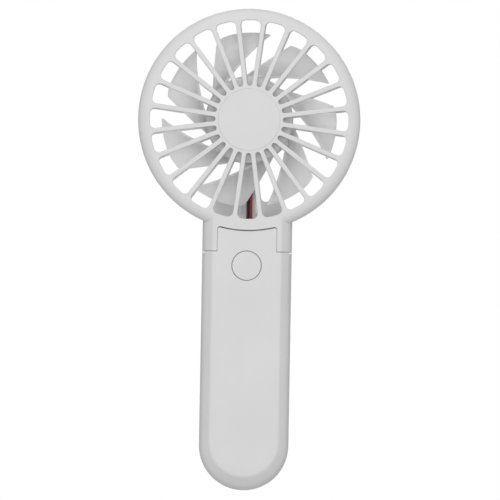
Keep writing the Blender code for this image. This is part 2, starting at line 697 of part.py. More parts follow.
def make_motor():
    """A small brushed motor: case, magnets, brushes, end cap, bearings and terminals, which stand still."""
    case_wall = 0.0008
    inner = MOTOR_RADIUS - case_wall
    front, back = -MOTOR_FRONT_Y, -MOTOR_BACK_Y
    bearing_hole = 0.0023
    case = turned(
        "motor_case",
        [
            (MOTOR_RADIUS, front),
            (MOTOR_RADIUS, back),
            (inner, back),
            (inner, front - case_wall),
            (bearing_hole, front - case_wall),
            (bearing_hole, front),
        ],
        HEAD_CENTRE,
        steps=28,
    )
    pieces = [finish(case, steel)]
    running = SHAFT_RADIUS + 0.0001
    front_bush = ring("motor_bearing_front", 0.0020, running, front + 0.0008, front - 0.0020, HEAD_CENTRE)
    rear_bush = ring("motor_bearing_rear", 0.0020, running, back - 0.0006, back - 0.0030, HEAD_CENTRE)
    pieces += [finish(front_bush, bronze), finish(rear_bush, bronze)]
    cap = turned(
        "motor_end_cap",
        [
            (MOTOR_RADIUS, back - GAP),
            (MOTOR_RADIUS, back - 0.0020),
            (0.0035, back - 0.0020),
            (0.0035, back - 0.0034),
            (0.0023, back - 0.0034),
            (0.0023, back - GAP),
        ],
        HEAD_CENTRE,
        steps=24,
    )
    pieces.append(finish(cap, dark_plastic))
    magnet_outer, magnet_inner, half_angle = inner - GAP, 0.0094, 62
    for name, middle in (("right", 90), ("left", 270)):
        loop = arc(magnet_outer, middle - half_angle, middle + half_angle, 10, (0, HEAD_Z))
        loop += arc(magnet_inner, middle + half_angle, middle - half_angle, 10, (0, HEAD_Z))
        pieces.append(finish(flat("magnet_" + name, [loop], 0.0, 0.0085), ferrite))
    for name, side in (("upper", 1), ("lower", -1)):
        low, high = sorted((HEAD_Z + side * 0.0027, HEAD_Z + side * 0.0035))
        brush = block("brush_" + name, (-0.0030, 0.0078, low), (0.0030, 0.0088, high))
        pieces.append(finish(brush, carbon))
    half, low, high = 0.0009, HEAD_Z - 0.0058, HEAD_Z - 0.0054
    for name, x in (("left", -0.0046), ("right", 0.0050)):
        terminal = block("motor_terminal_" + name, (x - half, 0.0121, low), (x + half, 0.0142, high))
        pieces.append(finish(terminal, nickel))
    return pieces


def make_retainer():
    """The oval plate that holds the motor in its cup, screwed to the two lugs."""
    half_width, half_height = 0.0163, 0.0134
    oval = [(half_width * x, HEAD_Z + half_height * z) for x, z in circle(1, 32)]
    holes = [circle(0.0042, 16, (0, HEAD_Z))]
    holes += [circle(0.0010, 10, (side * lug_x, HEAD_Z)) for side in (-1, 1)]
    plate = flat("motor_retainer", [oval, *holes], -0.0040, MOTOR_FRONT_Y - GAP)
    size = (0.0014, 0.0009, 0.0006, 0.0065)
    spots = [(side * lug_x, -0.0052, HEAD_Z) for side in (-1, 1)]
    return [finish(plate, inner_plastic), *make_screws("retainer_screw", size, spots, backwards=False)]


def edge_angle(radius, tangent_radius, start, sweep):
    """Where a blade's edge crosses a radius: a tangent to an inner circle, bent by sweep degrees a metre."""
    return start + sweep * radius + math.degrees(math.acos(tangent_radius / radius))


def blade_point(across, along):
    """across runs from the trailing edge, in front, to the leading edge, and along from hub to tip."""
    root = HUB_RADIUS - 0.0008
    corner = max(0, (across - 0.75) / 0.25)
    radius = root + along * (BLADE_TIP_RADIUS - 0.0009 * corner**2 - root)
    trailing = edge_angle(radius, 0.0167, -65.65, 450)
    leading = edge_angle(radius, 0.01513, -94.76, 190)
    angle = math.radians(trailing + across * (leading - trailing))
    front = -0.0052 + 0.0012 * along
    back = 0.0078 - 0.0042 * along
    camber = 0.0010 * math.sin(math.pi * across)
    return radius * math.sin(angle), front + across * (back - front) + camber, radius * math.cos(angle)


def make_impeller():
    """Seven swept blades on a cup that covers the motor."""
    face, skirt, wall, edge = 0.0076, -0.0090, 0.0014, 0.0008
    boss, bore, boss_end, bore_end = 0.0030, SHAFT_RADIUS + 0.0001, 0.0048, 0.0068
    hub = turned(
        "impeller",
        [
            (0, face),
            (HUB_RADIUS - edge, face),
            (HUB_RADIUS, face - edge),
            (HUB_RADIUS, skirt),
            (HUB_RADIUS - wall, skirt),
            (HUB_RADIUS - wall, face - wall),
            (boss, face - wall),
            (boss, boss_end),
            (bore, boss_end),
            (bore, bore_end),
            (0, bore_end),
        ],
        HEAD_CENTRE,
        steps=42,
    )
    divisions = 5
    shape = bmesh.new()
    for n in range(BLADE_COUNT):
        turn = 2 * math.pi * n / BLADE_COUNT
        grid = bmesh.ops.create_grid(shape, x_segments=divisions, y_segments=divisions, size=0.5)
        for corner in grid["verts"]:
            x, y, z = blade_point(corner.co.x + 0.5, corner.co.y + 0.5)
            corner.co = (x * math.cos(turn) + z * math.sin(turn), y, z * math.cos(turn) - x * math.sin(turn))
    mesh = bpy.data.meshes.new("blades")
    shape.to_mesh(mesh)
    shape.free()
    blades = place(bpy.data.objects.new("blades", mesh), HEAD_CENTRE)
    thick = blades.modifiers.new("thick", "SOLIDIFY")
    thick.thickness = 0.0012
    thick.offset = 0
    return finish(join(hub, blades), blade_plastic)


def make_armature():
    """What turns inside the motor: shaft, three-pole core, one winding a pole, and the commutator."""
    shaft = rod("motor_shaft", SHAFT_RADIUS, 0.0064, -0.0125, HEAD_CENTRE)
    arm, hub, shoe_inner, shoe_outer, shoe_angle = 0.0012, 0.0032, 0.0075, 0.0088, 46
    core_front, core_back = 0.0010, 0.0060
    loop = []
    for pole in (0, 120, 240):
        root = math.degrees(math.asin(arm / hub))
        neck = math.degrees(math.asin(arm / shoe_inner))
        loop.append(polar(hub, pole - root, (0, HEAD_Z)))
        loop += arc(shoe_inner, pole - neck, pole - shoe_angle, 4, (0, HEAD_Z))
        loop += arc(shoe_outer, pole - shoe_angle, pole + shoe_angle, 10, (0, HEAD_Z))
        loop += arc(shoe_inner, pole + shoe_angle, pole + neck, 4, (0, HEAD_Z))
        loop.append(polar(hub, pole + root, (0, HEAD_Z)))
    hole = circle(SHAFT_RADIUS + GAP, 16, (0, HEAD_Z))
    core = flat("armature_core", [loop, hole], core_front, core_back)
    coil_half, coil_reach, coil_low, coil_high = 0.0026, 0.0036, 0.0042, 0.0068
    coil = block("coil", (-coil_half, -coil_reach, coil_low), (coil_half, coil_reach, coil_high))
    coil.location = (0, 0, 0)
    eye_x, eye_y = arm + GAP, (core_back - core_front) / 2 + GAP
    cut(coil, block("coil_eye", (-eye_x, -eye_y, -FAR), (eye_x, eye_y, FAR)))
    coil_mesh = plain_mesh(coil)
    coil_mesh.transform(Matrix.Translation((0, 0, (coil_low + coil_high) / 2)))
    windings = []
    for n in range(3):
        winding = place(bpy.data.objects.new(f"armature_winding_{n + 1}", coil_mesh))
        winding.location = (0, (core_front + core_back) / 2, HEAD_Z)
        winding.rotation_euler = (0, math.radians(120 * n), 0)
        windings.append(finish(winding, copper))
    commutator = ring("commutator", 0.0024, SHAFT_RADIUS + GAP, -0.0070, -0.0094, HEAD_CENTRE)
    return [finish(shaft, steel), finish(core, steel), *windings, finish(commutator, copper)]


def make_motor_leads():
    black = [
        (-4.6, 14.6, -7.2), (-3.2, 15.7, -9.0), (-0.6, 16.3, -11.6), (0.15, 16.4, -15.0), (0.15, 16.4, -26.0),
        (0.15, 16.4, -38.5), (0.7, 16.2, -41.4), (2.9, 15.4, -43.0), (6.5, 13.2, -42.7), (10.5, 10.2, -41.8),
        (13.6, 8.1, -40.7), (15.2, 7.7, -41.8), (15.7, 7.6, -44.6), (15.7, 7.6, -48.4), (15.1, 7.6, -49.9),
        (13.6, 7.6, -50.3), (9.1, 7.6, -50.3),
    ]
    red = [
        (5.0, 14.6, -7.2), (4.0, 15.7, -9.0), (1.9, 16.3, -11.8), (1.45, 16.4, -15.0), (1.45, 16.4, -26.0),
        (1.45, 16.4, -37.8), (1.95, 16.1, -40.1), (3.8, 15.0, -41.5), (7.2, 12.0, -41.2), (11.0, 8.8, -40.2),
        (13.8, 6.8, -39.6), (15.3, 6.4, -41.0), (15.7, 6.4, -44.0), (15.7, 6.4, -48.4), (15.1, 6.4, -49.9),
        (13.6, 6.4, -50.3), (9.1, 6.4, -50.3),
    ]
    return [
        finish(wire("motor_lead_black", head_route(black), LEAD_RADIUS), lead_black),
        finish(wire("motor_lead_red", head_route(red), LEAD_RADIUS), lead_red),
    ]


# Assembly

make_front_cover()
make_rear_cover()
make_electronics()
make_battery()
make_handle_wires()
case_screw = (0.0016, 0.0009, 0.0008, 0.0176)
make_screws("case_screw", case_screw, [(x, 0.01105, z) for x, z in case_screw_spots])
board_screw = (0.0014, 0.0008, 0.00065, 0.0050)
make_screws("board_screw", board_screw, [(x, -0.0022, z) for x, z in board_screw_spots])
make_button()
make_switch()
pins = make_hinge()

rim_screw = (0.00125, 0.0009, 0.0008, 0.0182)
head_pieces = [
    make_front_grille(),
    make_hub_cap(),
    make_rear_grille(),
    *make_screws("rim_screw", rim_screw, [(x, 0.0152, z) for x, z in rim_screw_spots]),
    *make_motor(),
    *make_retainer(),
    *make_motor_leads(),
    *pins,
]
head_axis = carry("head_fold_axis", HINGE, head_pieces)
impeller_axis = carry("impeller_axis", HEAD_CENTRE, [make_impeller(), *make_armature()])
impeller_axis.parent = head_axis
impeller_axis.matrix_parent_inverse = head_axis.matrix_world.inverted()
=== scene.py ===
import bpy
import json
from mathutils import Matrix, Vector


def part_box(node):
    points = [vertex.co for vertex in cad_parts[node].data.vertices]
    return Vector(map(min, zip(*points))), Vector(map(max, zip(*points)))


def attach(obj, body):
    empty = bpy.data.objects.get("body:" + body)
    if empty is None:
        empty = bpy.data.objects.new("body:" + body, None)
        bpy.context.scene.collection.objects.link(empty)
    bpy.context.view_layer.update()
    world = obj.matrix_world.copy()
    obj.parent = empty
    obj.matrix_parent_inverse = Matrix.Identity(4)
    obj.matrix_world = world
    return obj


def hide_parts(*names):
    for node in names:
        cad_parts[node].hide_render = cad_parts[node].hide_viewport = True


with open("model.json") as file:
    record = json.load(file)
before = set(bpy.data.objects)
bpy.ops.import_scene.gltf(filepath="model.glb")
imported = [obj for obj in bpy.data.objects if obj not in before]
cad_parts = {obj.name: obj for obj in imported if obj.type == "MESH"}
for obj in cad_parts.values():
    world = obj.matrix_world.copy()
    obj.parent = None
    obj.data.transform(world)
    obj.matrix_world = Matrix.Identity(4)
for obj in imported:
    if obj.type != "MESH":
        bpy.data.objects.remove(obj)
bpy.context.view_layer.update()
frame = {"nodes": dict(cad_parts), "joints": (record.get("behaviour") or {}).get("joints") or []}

import json
import math

import bmesh
import bpy
from mathutils import Matrix, Vector

# The room: an even pale floor well below the fan that glows a little, two broad soft lamps in front of it
# and one behind, and a white surround that lights it less than it shows. Nothing touches the fan. The
# camera is level and far off, very slightly to the fan's right, and leans a little to one side.
scene = bpy.context.scene
scene.view_settings.view_transform = "Standard"
looking_at = Vector((0.0013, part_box("handle_front_cover")[0].y, 0.0501))
camera_distance, frame_width, lean, swing = 2.75, 0.2065, 1.0, 0.62
camera = bpy.data.objects.new("camera", bpy.data.cameras.new("camera"))
scene.collection.objects.link(camera)
camera.data.sensor_width = 36
camera.data.lens = camera.data.sensor_width * camera_distance / frame_width
camera.data.clip_start, camera.data.clip_end = 0.1, 50
aim = math.radians(swing)
camera.location = looking_at + camera_distance * Vector((math.sin(aim), -math.cos(aim), 0))
level = Matrix.Rotation(aim, 4, "Z") @ Matrix.Rotation(math.radians(90), 4, "X")
camera.rotation_euler = (level @ Matrix.Rotation(math.radians(lean), 4, "Z")).to_euler()
scene.camera = camera

for name, way, size, power in (
    ("high_lamp", (-0.06, -1.0, 1.1), 1.3, 13.5),
    ("front_lamp", (0.0, -1.0, 0.06), 1.1, 16.8),
    ("back_lamp", (0.15, 1.0, 0.45), 1.3, 37),
):
    lamp = bpy.data.lights.new(name, "AREA")
    lamp.shape, lamp.size, lamp.energy = "SQUARE", size, power
    lamp_object = bpy.data.objects.new(name, lamp)
    scene.collection.objects.link(lamp_object)
    way = Vector(way).normalized()
    lamp_object.location = looking_at + 2.0 * way
    lamp_object.rotation_euler = way.to_track_quat("Z", "Y").to_euler()
    lamp_object.visible_camera = False

surround = bpy.data.worlds.new("surround")
surround.use_nodes = True
scene.world = surround
nodes, links = surround.node_tree.nodes, surround.node_tree.links
seen, lighting = nodes["Background"], nodes.new("ShaderNodeBackground")
seen.inputs["Color"].default_value = (1.0, 1.0, 1.0, 1)
seen.inputs["Strength"].default_value = 1.0
lighting.inputs["Color"].default_value = (1.0, 1.0, 1.0, 1)
lighting.inputs["Strength"].default_value = 0.40
which, ray = nodes.new("ShaderNodeMixShader"), nodes.new("ShaderNodeLightPath")
links.new(ray.outputs["Is Camera Ray"], which.inputs["Fac"])
links.new(lighting.outputs["Background"], which.inputs[1])
links.new(seen.outputs["Background"], which.inputs[2])
links.new(which.outputs["Shader"], nodes["World Output"].inputs["Surface"])

floor_radius, floor_z = 5.5, -0.30
floor_shape = bmesh.new()
bmesh.ops.create_circle(floor_shape, cap_ends=True, radius=floor_radius, segments=96)
bmesh.ops.translate(floor_shape, verts=floor_shape.verts, vec=(0, 0, floor_z))
floor_mesh = bpy.data.meshes.new("floor")
floor_shape.to_mesh(floor_mesh)
floor_shape.free()
floor = bpy.data.objects.new("floor", floor_mesh)
scene.collection.objects.link(floor)
floor_paint = bpy.data.materials.new("floor_paint")
floor_paint.use_nodes = True
floor_shader = floor_paint.node_tree.nodes["Principled BSDF"]
floor_shader.inputs["Base Color"].default_value = (0.90, 0.90, 0.89, 1)
floor_shader.inputs["Roughness"].default_value = 0.8
floor_shader.inputs["Emission Color"].default_value = (1.0, 1.0, 1.0, 1)
floor_shader.inputs["Emission Strength"].default_value = 0.35
floor_mesh.materials.append(floor_paint)
floor.visible_diffuse = False  # it sends no light back up under the fan

# Handle rear cover: the back half of the grip, an injection-moulded shell with the back of the hinge
# tongue at its top. It is moulded in light grey plastic with a very fine spark-eroded texture, and holds
# the front cover by four screws. It is left whole at the hinge: the pins and the leads run through it.
joints = {joint["name"]: joint for joint in frame["joints"]}
head_x, _, head_z = joints["impeller_spin"]["pos_m"]
hinge_y, hinge_z = joints["head_fold"]["pos_m"][1:]
front_y, back_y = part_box("handle_front_cover")[0].y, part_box("handle_rear_cover")[1].y
grip_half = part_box("handle_front_cover")[1].x
grip_end_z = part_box("handle_front_cover")[0].z + grip_half
split_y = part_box("handle_front_cover")[1].y + 0.00015
wall = 0.0016
parting = 0.00005
button_x, button_z = 0.0, sum(corner.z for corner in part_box("power_button")) / 2


def in_scene(name, mesh):
    obj = bpy.data.objects.new(name, mesh)
    scene.collection.objects.link(obj)
    return obj


def loft(name, loops):
    """A closed solid through outlines with like points, with a flat cap on its first and its last."""
    shape = bmesh.new()
    rows = [[shape.verts.new(point) for point in loop] for loop in loops]
    for one, other in zip(rows, rows[1:]):
        for i in range(len(one)):
            shape.faces.new((one[i], one[i - 1], other[i - 1], other[i]))
    shape.faces.new(rows[0])
    shape.faces.new(reversed(rows[-1]))
    bmesh.ops.recalc_face_normals(shape, faces=shape.faces)
    mesh = bpy.data.meshes.new(name)
    shape.to_mesh(mesh)
    shape.free()
    return in_scene(name, mesh)


def settle(obj):
    """What the modifiers show becomes the object's own mesh, and they are taken off."""
    bpy.context.view_layer.update()
    graph = bpy.context.evaluated_depsgraph_get()
    mesh = bpy.data.meshes.new_from_object(obj.evaluated_get(graph))
    obj.modifiers.clear()
    obj.data = mesh
    return obj


def carve(obj, operation, tools):
    for tool in tools:
        step = obj.modifiers.new(tool.name, "BOOLEAN")
        step.operation, step.object, step.solver = operation, tool, "EXACT"
    settle(obj)
    for tool in tools:
        bpy.data.objects.remove(tool)
    return obj


def smooth(obj, angle=32):
    """Round faces shade as round, flat ones as flat, and edges sharper than the angle stay crisp."""
    obj.data.shade_smooth()
    obj.data.set_sharp_from_angle(angle=math.radians(angle))
    weigh = obj.modifiers.new("weigh_normals", "WEIGHTED_NORMAL")
    weigh.keep_sharp = True
    return settle(obj)


def box_between(name, low, high):
    corners = [(low[0], low[2]), (high[0], low[2]), (high[0], high[2]), (low[0], high[2])]
    return loft(name, [[(x, y, z) for x, z in corners] for y in (low[1], high[1])])


def polar(radius, angle, x=0.0, z=0.0):
    """A point seen from the front, at an angle in degrees clockwise from straight up."""
    turn = math.radians(angle)
    return x + radius * math.sin(turn), z + radius * math.cos(turn)


def arc(radius, start, stop, count, x=0.0, z=0.0):
    return [polar(radius, start + (stop - start) * i / count, x, z) for i in range(count + 1)]


def across(outline, y):
    return [(x, y, z) for x, z in outline]


def rounds(name, profile, x=0.0, z=0.0, count=64):
    """A turned solid on a line along Y, from its (radius, y) pairs, front to back."""
    circle = arc(1.0, 0, 360, count)[:-1]
    return loft(name, [[(x + r * a, y, z + r * b) for a, b in circle] for r, y in profile])


def edge_profile():
    """The casing's rounded edge as (inset, depth) pairs: a faint fall, a soft chamfer, then a round."""
    points = [(0.0076, 0.0)]
    bands = ((0.0028, 0, 4, 2), (0.0010, 4, 34, 5), (0.0020, 34, 40, 2), (0.0018, 40, 90, 9))
    for width, start, stop, count in bands:
        sines = [math.sin(math.radians(angle)) for angle in (start, stop)]
        radius = width / (sines[1] - sines[0])
        inset, depth = points[-1]
        for i in range(1, count + 1):
            angle = math.radians(start + (stop - start) * i / count)
            along = radius * (math.sin(angle) - sines[0])
            down = radius * (math.cos(math.radians(start)) - math.cos(angle))
            points.append((max(0.0, inset - along), depth + down))
    return points


def grip_outline(inset, top, rise=0.0):
    half = grip_half - inset
    return [(-half, top), (half, top), *arc(half, 90, 270, 56, 0, grip_end_z + rise)]


def grip_solid(name, inset, top, face_y, end_y):
    """Half of the grip's form, from one face towards the other, all of it set in by inset. The rounded
    edge is a third wider round the lower end than along the sides."""
    inward = 1 if end_y > face_y else -1
    loops = []
    for edge_inset, depth in edge_profile():
        outline = grip_outline(edge_inset + inset, top, 0.36 * edge_inset)
        loops.append(across(outline, face_y + inward * (depth + inset)))
    loops.append(across(grip_outline(inset, top), end_y))
    return loft(name, loops)


def tongue_outline(inset):
    """What is kept of the grip at its top: two square shoulders and the tongue between them."""
    shoulder_z = hinge_z - 0.00435 - inset
    side, top_radius, corner = 0.01222 - inset, tongue_top_radius + inset, 0.0008
    corner_x = side - corner
    corner_z = head_z - math.sqrt((top_radius + corner) ** 2 - corner_x**2)
    lean_in = math.degrees(math.asin(corner_x / (top_radius + corner)))
    right = arc(corner, 90, -lean_in, 7, corner_x, corner_z)
    middle = [polar(top_radius, 180 - lean_in * (1 - i / 16), 0, head_z) for i in range(1, 17)]
    half = [(0.03, -0.08), (0.03, shoulder_z), (side, shoulder_z), *right, *middle]
    return half + [(-x, z) for x, z in reversed(half[:-1])]


# The joint between the tongue and the ears is stepped, so that no light comes through it: behind the
# first few millimetres the grip is cut back by the step, and the ears reach in over it.
step, step_front, step_play = 0.0006, front_y + 0.0025, 0.0012
tongue_top_radius = 0.04615


def tongue_form(name, inset):
    stations = ((-0.03, 0), (step_front, 0), (step_front + 0.00005, step), (0.03, step))
    return loft(name, [across(tongue_outline(inset + more), y) for y, more in stations])


casing_grey = (0.672, 0.672, 0.672)


def moulded_plastic(name, colour, roughness, grain=0.00025, relief=0.000012):
    """Moulded plastic: fine eroded grain, faint flow clouds in the colour and slightly uneven gloss."""
    material = bpy.data.materials.new(name)
    material.use_nodes = True
    tree = material.node_tree
    shader = tree.nodes["Principled BSDF"]
    shader.inputs["Specular IOR Level"].default_value = 0.4
    place = tree.nodes.new("ShaderNodeTexCoord").outputs["Object"]
    cloud, fine = tree.nodes.new("ShaderNodeTexNoise"), tree.nodes.new("ShaderNodeTexNoise")
    cloud.inputs["Scale"].default_value = 45
    cloud.inputs["Detail"].default_value = 3
    fine.inputs["Scale"].default_value = 0.5 / grain
    fine.inputs["Detail"].default_value = 4
    tint = tree.nodes.new("ShaderNodeValToRGB")
    tint.color_ramp.elements[0].position, tint.color_ramp.elements[1].position = 0.3, 0.7
    tint.color_ramp.elements[0].color = (*(c * 0.975 for c in colour), 1)
    tint.color_ramp.elements[1].color = (*(min(1, c * 1.015) for c in colour), 1)
    gloss = tree.nodes.new("ShaderNodeMapRange")
    gloss.inputs["To Min"].default_value = roughness - 0.05
    gloss.inputs["To Max"].default_value = roughness + 0.05
    bump = tree.nodes.new("ShaderNodeBump")
    bump.inputs["Strength"].default_value = 0.6
    bump.inputs["Distance"].default_value = relief
    tree.links.new(place, cloud.inputs["Vector"])
    tree.links.new(place, fine.inputs["Vector"])
    tree.links.new(cloud.outputs["Fac"], tint.inputs["Fac"])
    tree.links.new(tint.outputs["Color"], shader.inputs["Base Color"])
    tree.links.new(fine.outputs["Fac"], gloss.inputs["Value"])
    tree.links.new(gloss.outputs["Result"], shader.inputs["Roughness"])
    tree.links.new(fine.outputs["Fac"], bump.inputs["Height"])
    tree.links.new(bump.outputs["Normal"], shader.inputs["Normal"])
    return material


def dress(obj, material, body, slot, *replaced):
    """Gives a finished piece its material and its body, and hides the nodes that it stands for. Its slot is
    not used.
    """
    obj.data.materials.clear()
    obj.data.materials.append(material)
    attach(obj, body)
    if replaced:
        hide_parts(*replaced)
    return obj


casing_plastic = moulded_plastic("casing_plastic", casing_grey, 0.52)


def socket_opening(name):
    """The hole for the USB-C socket, half in each cover, with round ends."""
    half_wide, half_high = 0.0048, 0.0019
    ends = half_wide - half_high
    outline = arc(half_high, 0, 180, 10, ends, 0) + arc(half_high, 180, 360, 10, -ends, 0)
    depths = (grip_end_z - 0.012, grip_end_z - 0.030)
    return loft(name, [[(x, split_y + y, z) for x, y in outline] for z in depths])


light_low, light_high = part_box("charge_light")
light_x, light_y = (light_low.x + light_high.x) / 2, (light_low.y + light_high.y) / 2


def light_opening(name):
    circle = arc(0.0011, 0, 360, 24)[:-1]
    depths = (grip_end_z - 0.012, grip_end_z - 0.030)
    return loft(name, [[(light_x + x, light_y + y, z) for x, y in circle] for z in depths])


def screw_spots(names):
    """Each screw's (x, front end, back end, z), read from its node."""
    spots = []
    for name in names:
        low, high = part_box(name)
        spots.append(((low.x + high.x) / 2, low.y, high.y, (low.z + high.z) / 2))
    return spots


case_screw_names = [f"case_screw_{n}" for n in range(1, 5)]
hinge_top, crown_play = 0.013, 0.00003
crown_stations = [hinge_top * (1 - i / 12) for i in range(25)]


def crown_height(x, inset):
    return head_z - math.sqrt((tongue_top_radius + inset) ** 2 - x**2) - hinge_z


def crown_cutter(name, inset):
    """What the tongue loses behind the hinge, so that its top is round about the hinge's axis."""
    block = box_between(name, (-hinge_top, hinge_y, hinge_z), (hinge_top, 0.05, 0.10))
    circle = arc(1.0, 0, 360, 72)[:-1]
    loops = []
    for x in (-hinge_top - 0.002, *reversed(crown_stations), hinge_top + 0.002):
        radius = crown_height(max(-hinge_top, min(hinge_top, x)), inset + step) + crown_play
        loops.append([(x, hinge_y + radius * a, hinge_z + radius * b) for a, b in circle])
    return carve(block, "DIFFERENCE", [loft(name + "_spool", loops)])


rear_cover = grip_solid("handle_rear_shell", 0, hinge_z + 0.02, back_y, split_y + parting)
carve(rear_cover, "INTERSECT", [tongue_form("rear_keep", 0)])
carve(rear_cover, "DIFFERENCE", [crown_cutter("rear_crown", 0)])
rear_hollow = grip_solid("rear_hollow", wall, hinge_z + 0.02, back_y, split_y - 0.004)
carve(rear_hollow, "INTERSECT", [tongue_form("rear_hollow_keep", wall)])
carve(rear_hollow, "DIFFERENCE", [crown_cutter("rear_hollow_crown", wall)])
carve(rear_cover, "DIFFERENCE", [rear_hollow])
boss_radius, hole_radius, recess_radius, rim = 0.0021, 0.0010, 0.0018, 0.00025
boss_front, boss_back = (boss_radius, split_y + 0.0001), (boss_radius, back_y - 0.0008)
rear_bosses, rear_holes = [], []
for n, (x, _, _, z) in enumerate(screw_spots(case_screw_names)):
    rear_bosses.append(rounds(f"rear_boss_{n}", [boss_front, boss_back], x, z, 40))
    hole = [(hole_radius, split_y - 0.002), (hole_radius, back_y + 0.002)]
    rear_holes.append(rounds(f"rear_hole_{n}", hole, x, z, 32))
    recess = [(recess_radius, back_y - 0.0013), (recess_radius, back_y - rim)]
    recess += [(recess_radius + rim, back_y), (0.0030, back_y + 0.001)]
    rear_holes.append(rounds(f"rear_recess_{n}", recess, x, z, 48))
carve(rear_cover, "UNION", rear_bosses)
carve(rear_cover, "DIFFERENCE", [*rear_holes, socket_opening("rear_socket"), light_opening("rear_light")])
dress(smooth(rear_cover), casing_plastic, "handle", "shell_plastic", "handle_rear_cover")

# Handle front cover: the front half of the grip with the flat tongue between the head's two ears, in
# the same moulding plastic. The round hole for the button is cut square through its face, and the seams
# round the tongue are the casing's real gaps.
button_gap = 0.00026
button_radius = 0.00595
front_cover = grip_solid("handle_front_shell", 0, hinge_z + 0.02, front_y, split_y - parting)
carve(front_cover, "INTERSECT", [tongue_form("front_keep", 0)])
front_hollow = grip_solid("front_hollow", wall, hinge_z + 0.02, front_y, split_y + 0.004)
carve(front_hollow, "INTERSECT", [tongue_form("front_hollow_keep", wall)])
carve(front_cover, "DIFFERENCE", [front_hollow])
hole_edge = 0.0001
button_hole = [
    (button_radius + button_gap + hole_edge + 0.001, front_y - 0.001),
    (button_radius + button_gap + hole_edge, front_y),
    (button_radius + button_gap, front_y + hole_edge),
    (button_radius + button_gap, front_y + 0.003),
]
front_bosses = [
    rounds(f"front_boss_{n}", [(0.0021, front_y + 0.0008), (0.0021, split_y - 0.0001)], x, z, 40)
    for n, (x, _, _, z) in enumerate(screw_spots(case_screw_names))
]
carve(front_cover, "UNION", front_bosses)
front_holes = [
    rounds(f"front_hole_{n}", [(0.0010, front_y + 0.0030), (0.0010, split_y + 0.002)], x, z, 32)
    for n, (x, _, _, z) in enumerate(screw_spots(case_screw_names))
]
front_holes.append(rounds("button_hole", button_hole, button_x, button_z, 128))
carve(front_cover, "DIFFERENCE", [*front_holes, socket_opening("front_socket"), light_opening("front_light")])
dress(smooth(front_cover), casing_plastic, "handle", "shell_plastic", "handle_front_cover")

# Power button: a flush round cap of the casing's plastic with a broken edge and a flange behind the
# wall that keeps it in. It presses straight in.
button_low, button_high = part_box("power_button")
edge = 0.00015
button_profile = [(button_radius - edge, button_low.y)]
button_profile += [(button_radius - edge * 0.3, button_low.y + edge * 0.3)]
button_profile += [(button_radius, button_low.y + edge), (button_radius, button_high.y - 0.0008)]
button_profile += [(0.0071, button_high.y - 0.0008), (0.0071, button_high.y)]
button = rounds("button_cap", button_profile, button_x, button_z, 128)
dress(smooth(button), casing_plastic, "button", "shell_plastic", "power_button")

# Rear grille: the back half of the head, one moulding with the closed hub, the spokes, the rim and the
# back of the two ears. Its grey is painted lighter than the front half's. This is painted light that
# brightens the shaded inside of the head seen through the slots. No slot is cut where the motor's leads run
# down, and the slots on either side are short. The slots' edges are softened on both faces.
head_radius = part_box("front_grille")[1].x
head_back_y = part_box("rear_grille")[1].y
plate = 0.0025
ear_reach = 0.0041
ear_inner = 0.01235
rim_width, rim_depth = 0.0047, 0.0030


def drum_solid(name, radius, face_y, end_y, round_width, round_depth):
    """Half of the round head, from one face towards the other, its rim a quarter of an ellipse."""
    inward = 1 if end_y > face_y else -1
    start, profile = radius - round_width, []
    for i in range(13):
        angle = math.radians(90 * i / 12)
        down = round_depth * (1 - math.cos(angle))
        profile.append((start + round_width * math.sin(angle), face_y + inward * down))
    profile.append((radius, end_y))
    return rounds(name, profile, head_x, head_z, 240)


def ears_solid(name, face_y, end_y):
    """Half of the neck below the drum, as far as the ears' ends, outside the drum's own wall."""
    neck = grip_solid(name, 0, head_z - 0.030, face_y, end_y)
    far, back_of_step = 0.09, step_front + step_play
    reach = ((-far, ear_reach), (back_of_step, ear_reach))
    reach += ((back_of_step + 0.00005, ear_reach + step), (far, ear_reach + step))
    below = loft(name + "_below", [
        [(-far, y, -far), (far, y, -far), (far, y, hinge_z - down), (-far, y, hinge_z - down)]
        for y, down in reach
    ])
    neck_start = head_radius - 0.0054
    inside = rounds(name + "_inside", [(neck_start, -far), (neck_start, far)], 0, head_z, 240)
    return carve(neck, "DIFFERENCE", [below, inside])


def pocket_outline(inset):
    """The gap between the ears that the tongue stands in, with round corners at its top."""
    top_radius, corner, side = 0.0456 + inset, 0.00115, ear_inner - inset
    corner_x = side - corner
    corner_z = head_z - math.sqrt((top_radius + corner) ** 2 - corner_x**2)
    lean_in = math.degrees(math.asin(corner_x / (top_radius + corner)))
    right = arc(corner, 90, -lean_in, 7, corner_x, corner_z)
    middle = [polar(top_radius, 180 - lean_in * (1 - i / 16), 0, head_z) for i in range(1, 17)]
    half = [(side, 0.0), *right, *middle]
    return half + [(-x, z) for x, z in reversed(half[:-1])]


def pocket_solid(name):
    """The pocket, smaller behind its front part, and full again at the hinge, where the tongue swings."""
    back_of_step, at_hinge = step_front + step_play, hinge_y - 0.0010
    stations = ((-0.05, 0), (back_of_step, 0), (back_of_step + 0.00005, step), (at_hinge, step),
                (at_hinge + 0.00005, 0), (0.05, 0))
    return loft(name, [across(pocket_outline(more), y) for y, more in stations])


def slot_outline(inner_end, outer_end, spoke_half, corner, spread):
    """A slot that points straight up between two parallel-sided spokes, spread wider all round."""
    half_pitch = 7.5
    sine = math.sin(math.radians(half_pitch))
    spoke_half, outer_end, corner = spoke_half - spread, outer_end + spread, corner + spread
    inner_end -= spread
    inner_round = (inner_end - spoke_half / sine) * sine / (1 - sine)
    corner_centre = outer_end - corner
    corner_angle = half_pitch - math.degrees(math.asin((spoke_half + corner) / corner_centre))
    right = arc(corner, corner_angle, 90 + half_pitch, 9, *polar(corner_centre, corner_angle))
    right += arc(inner_round, 90 + half_pitch, 180, 7, 0, inner_end + inner_round)
    left = [(-x, z) for x, z in reversed(right[:-1])]
    top = arc(outer_end, -corner_angle, corner_angle, 6)[1:-1]
    return right + left + top


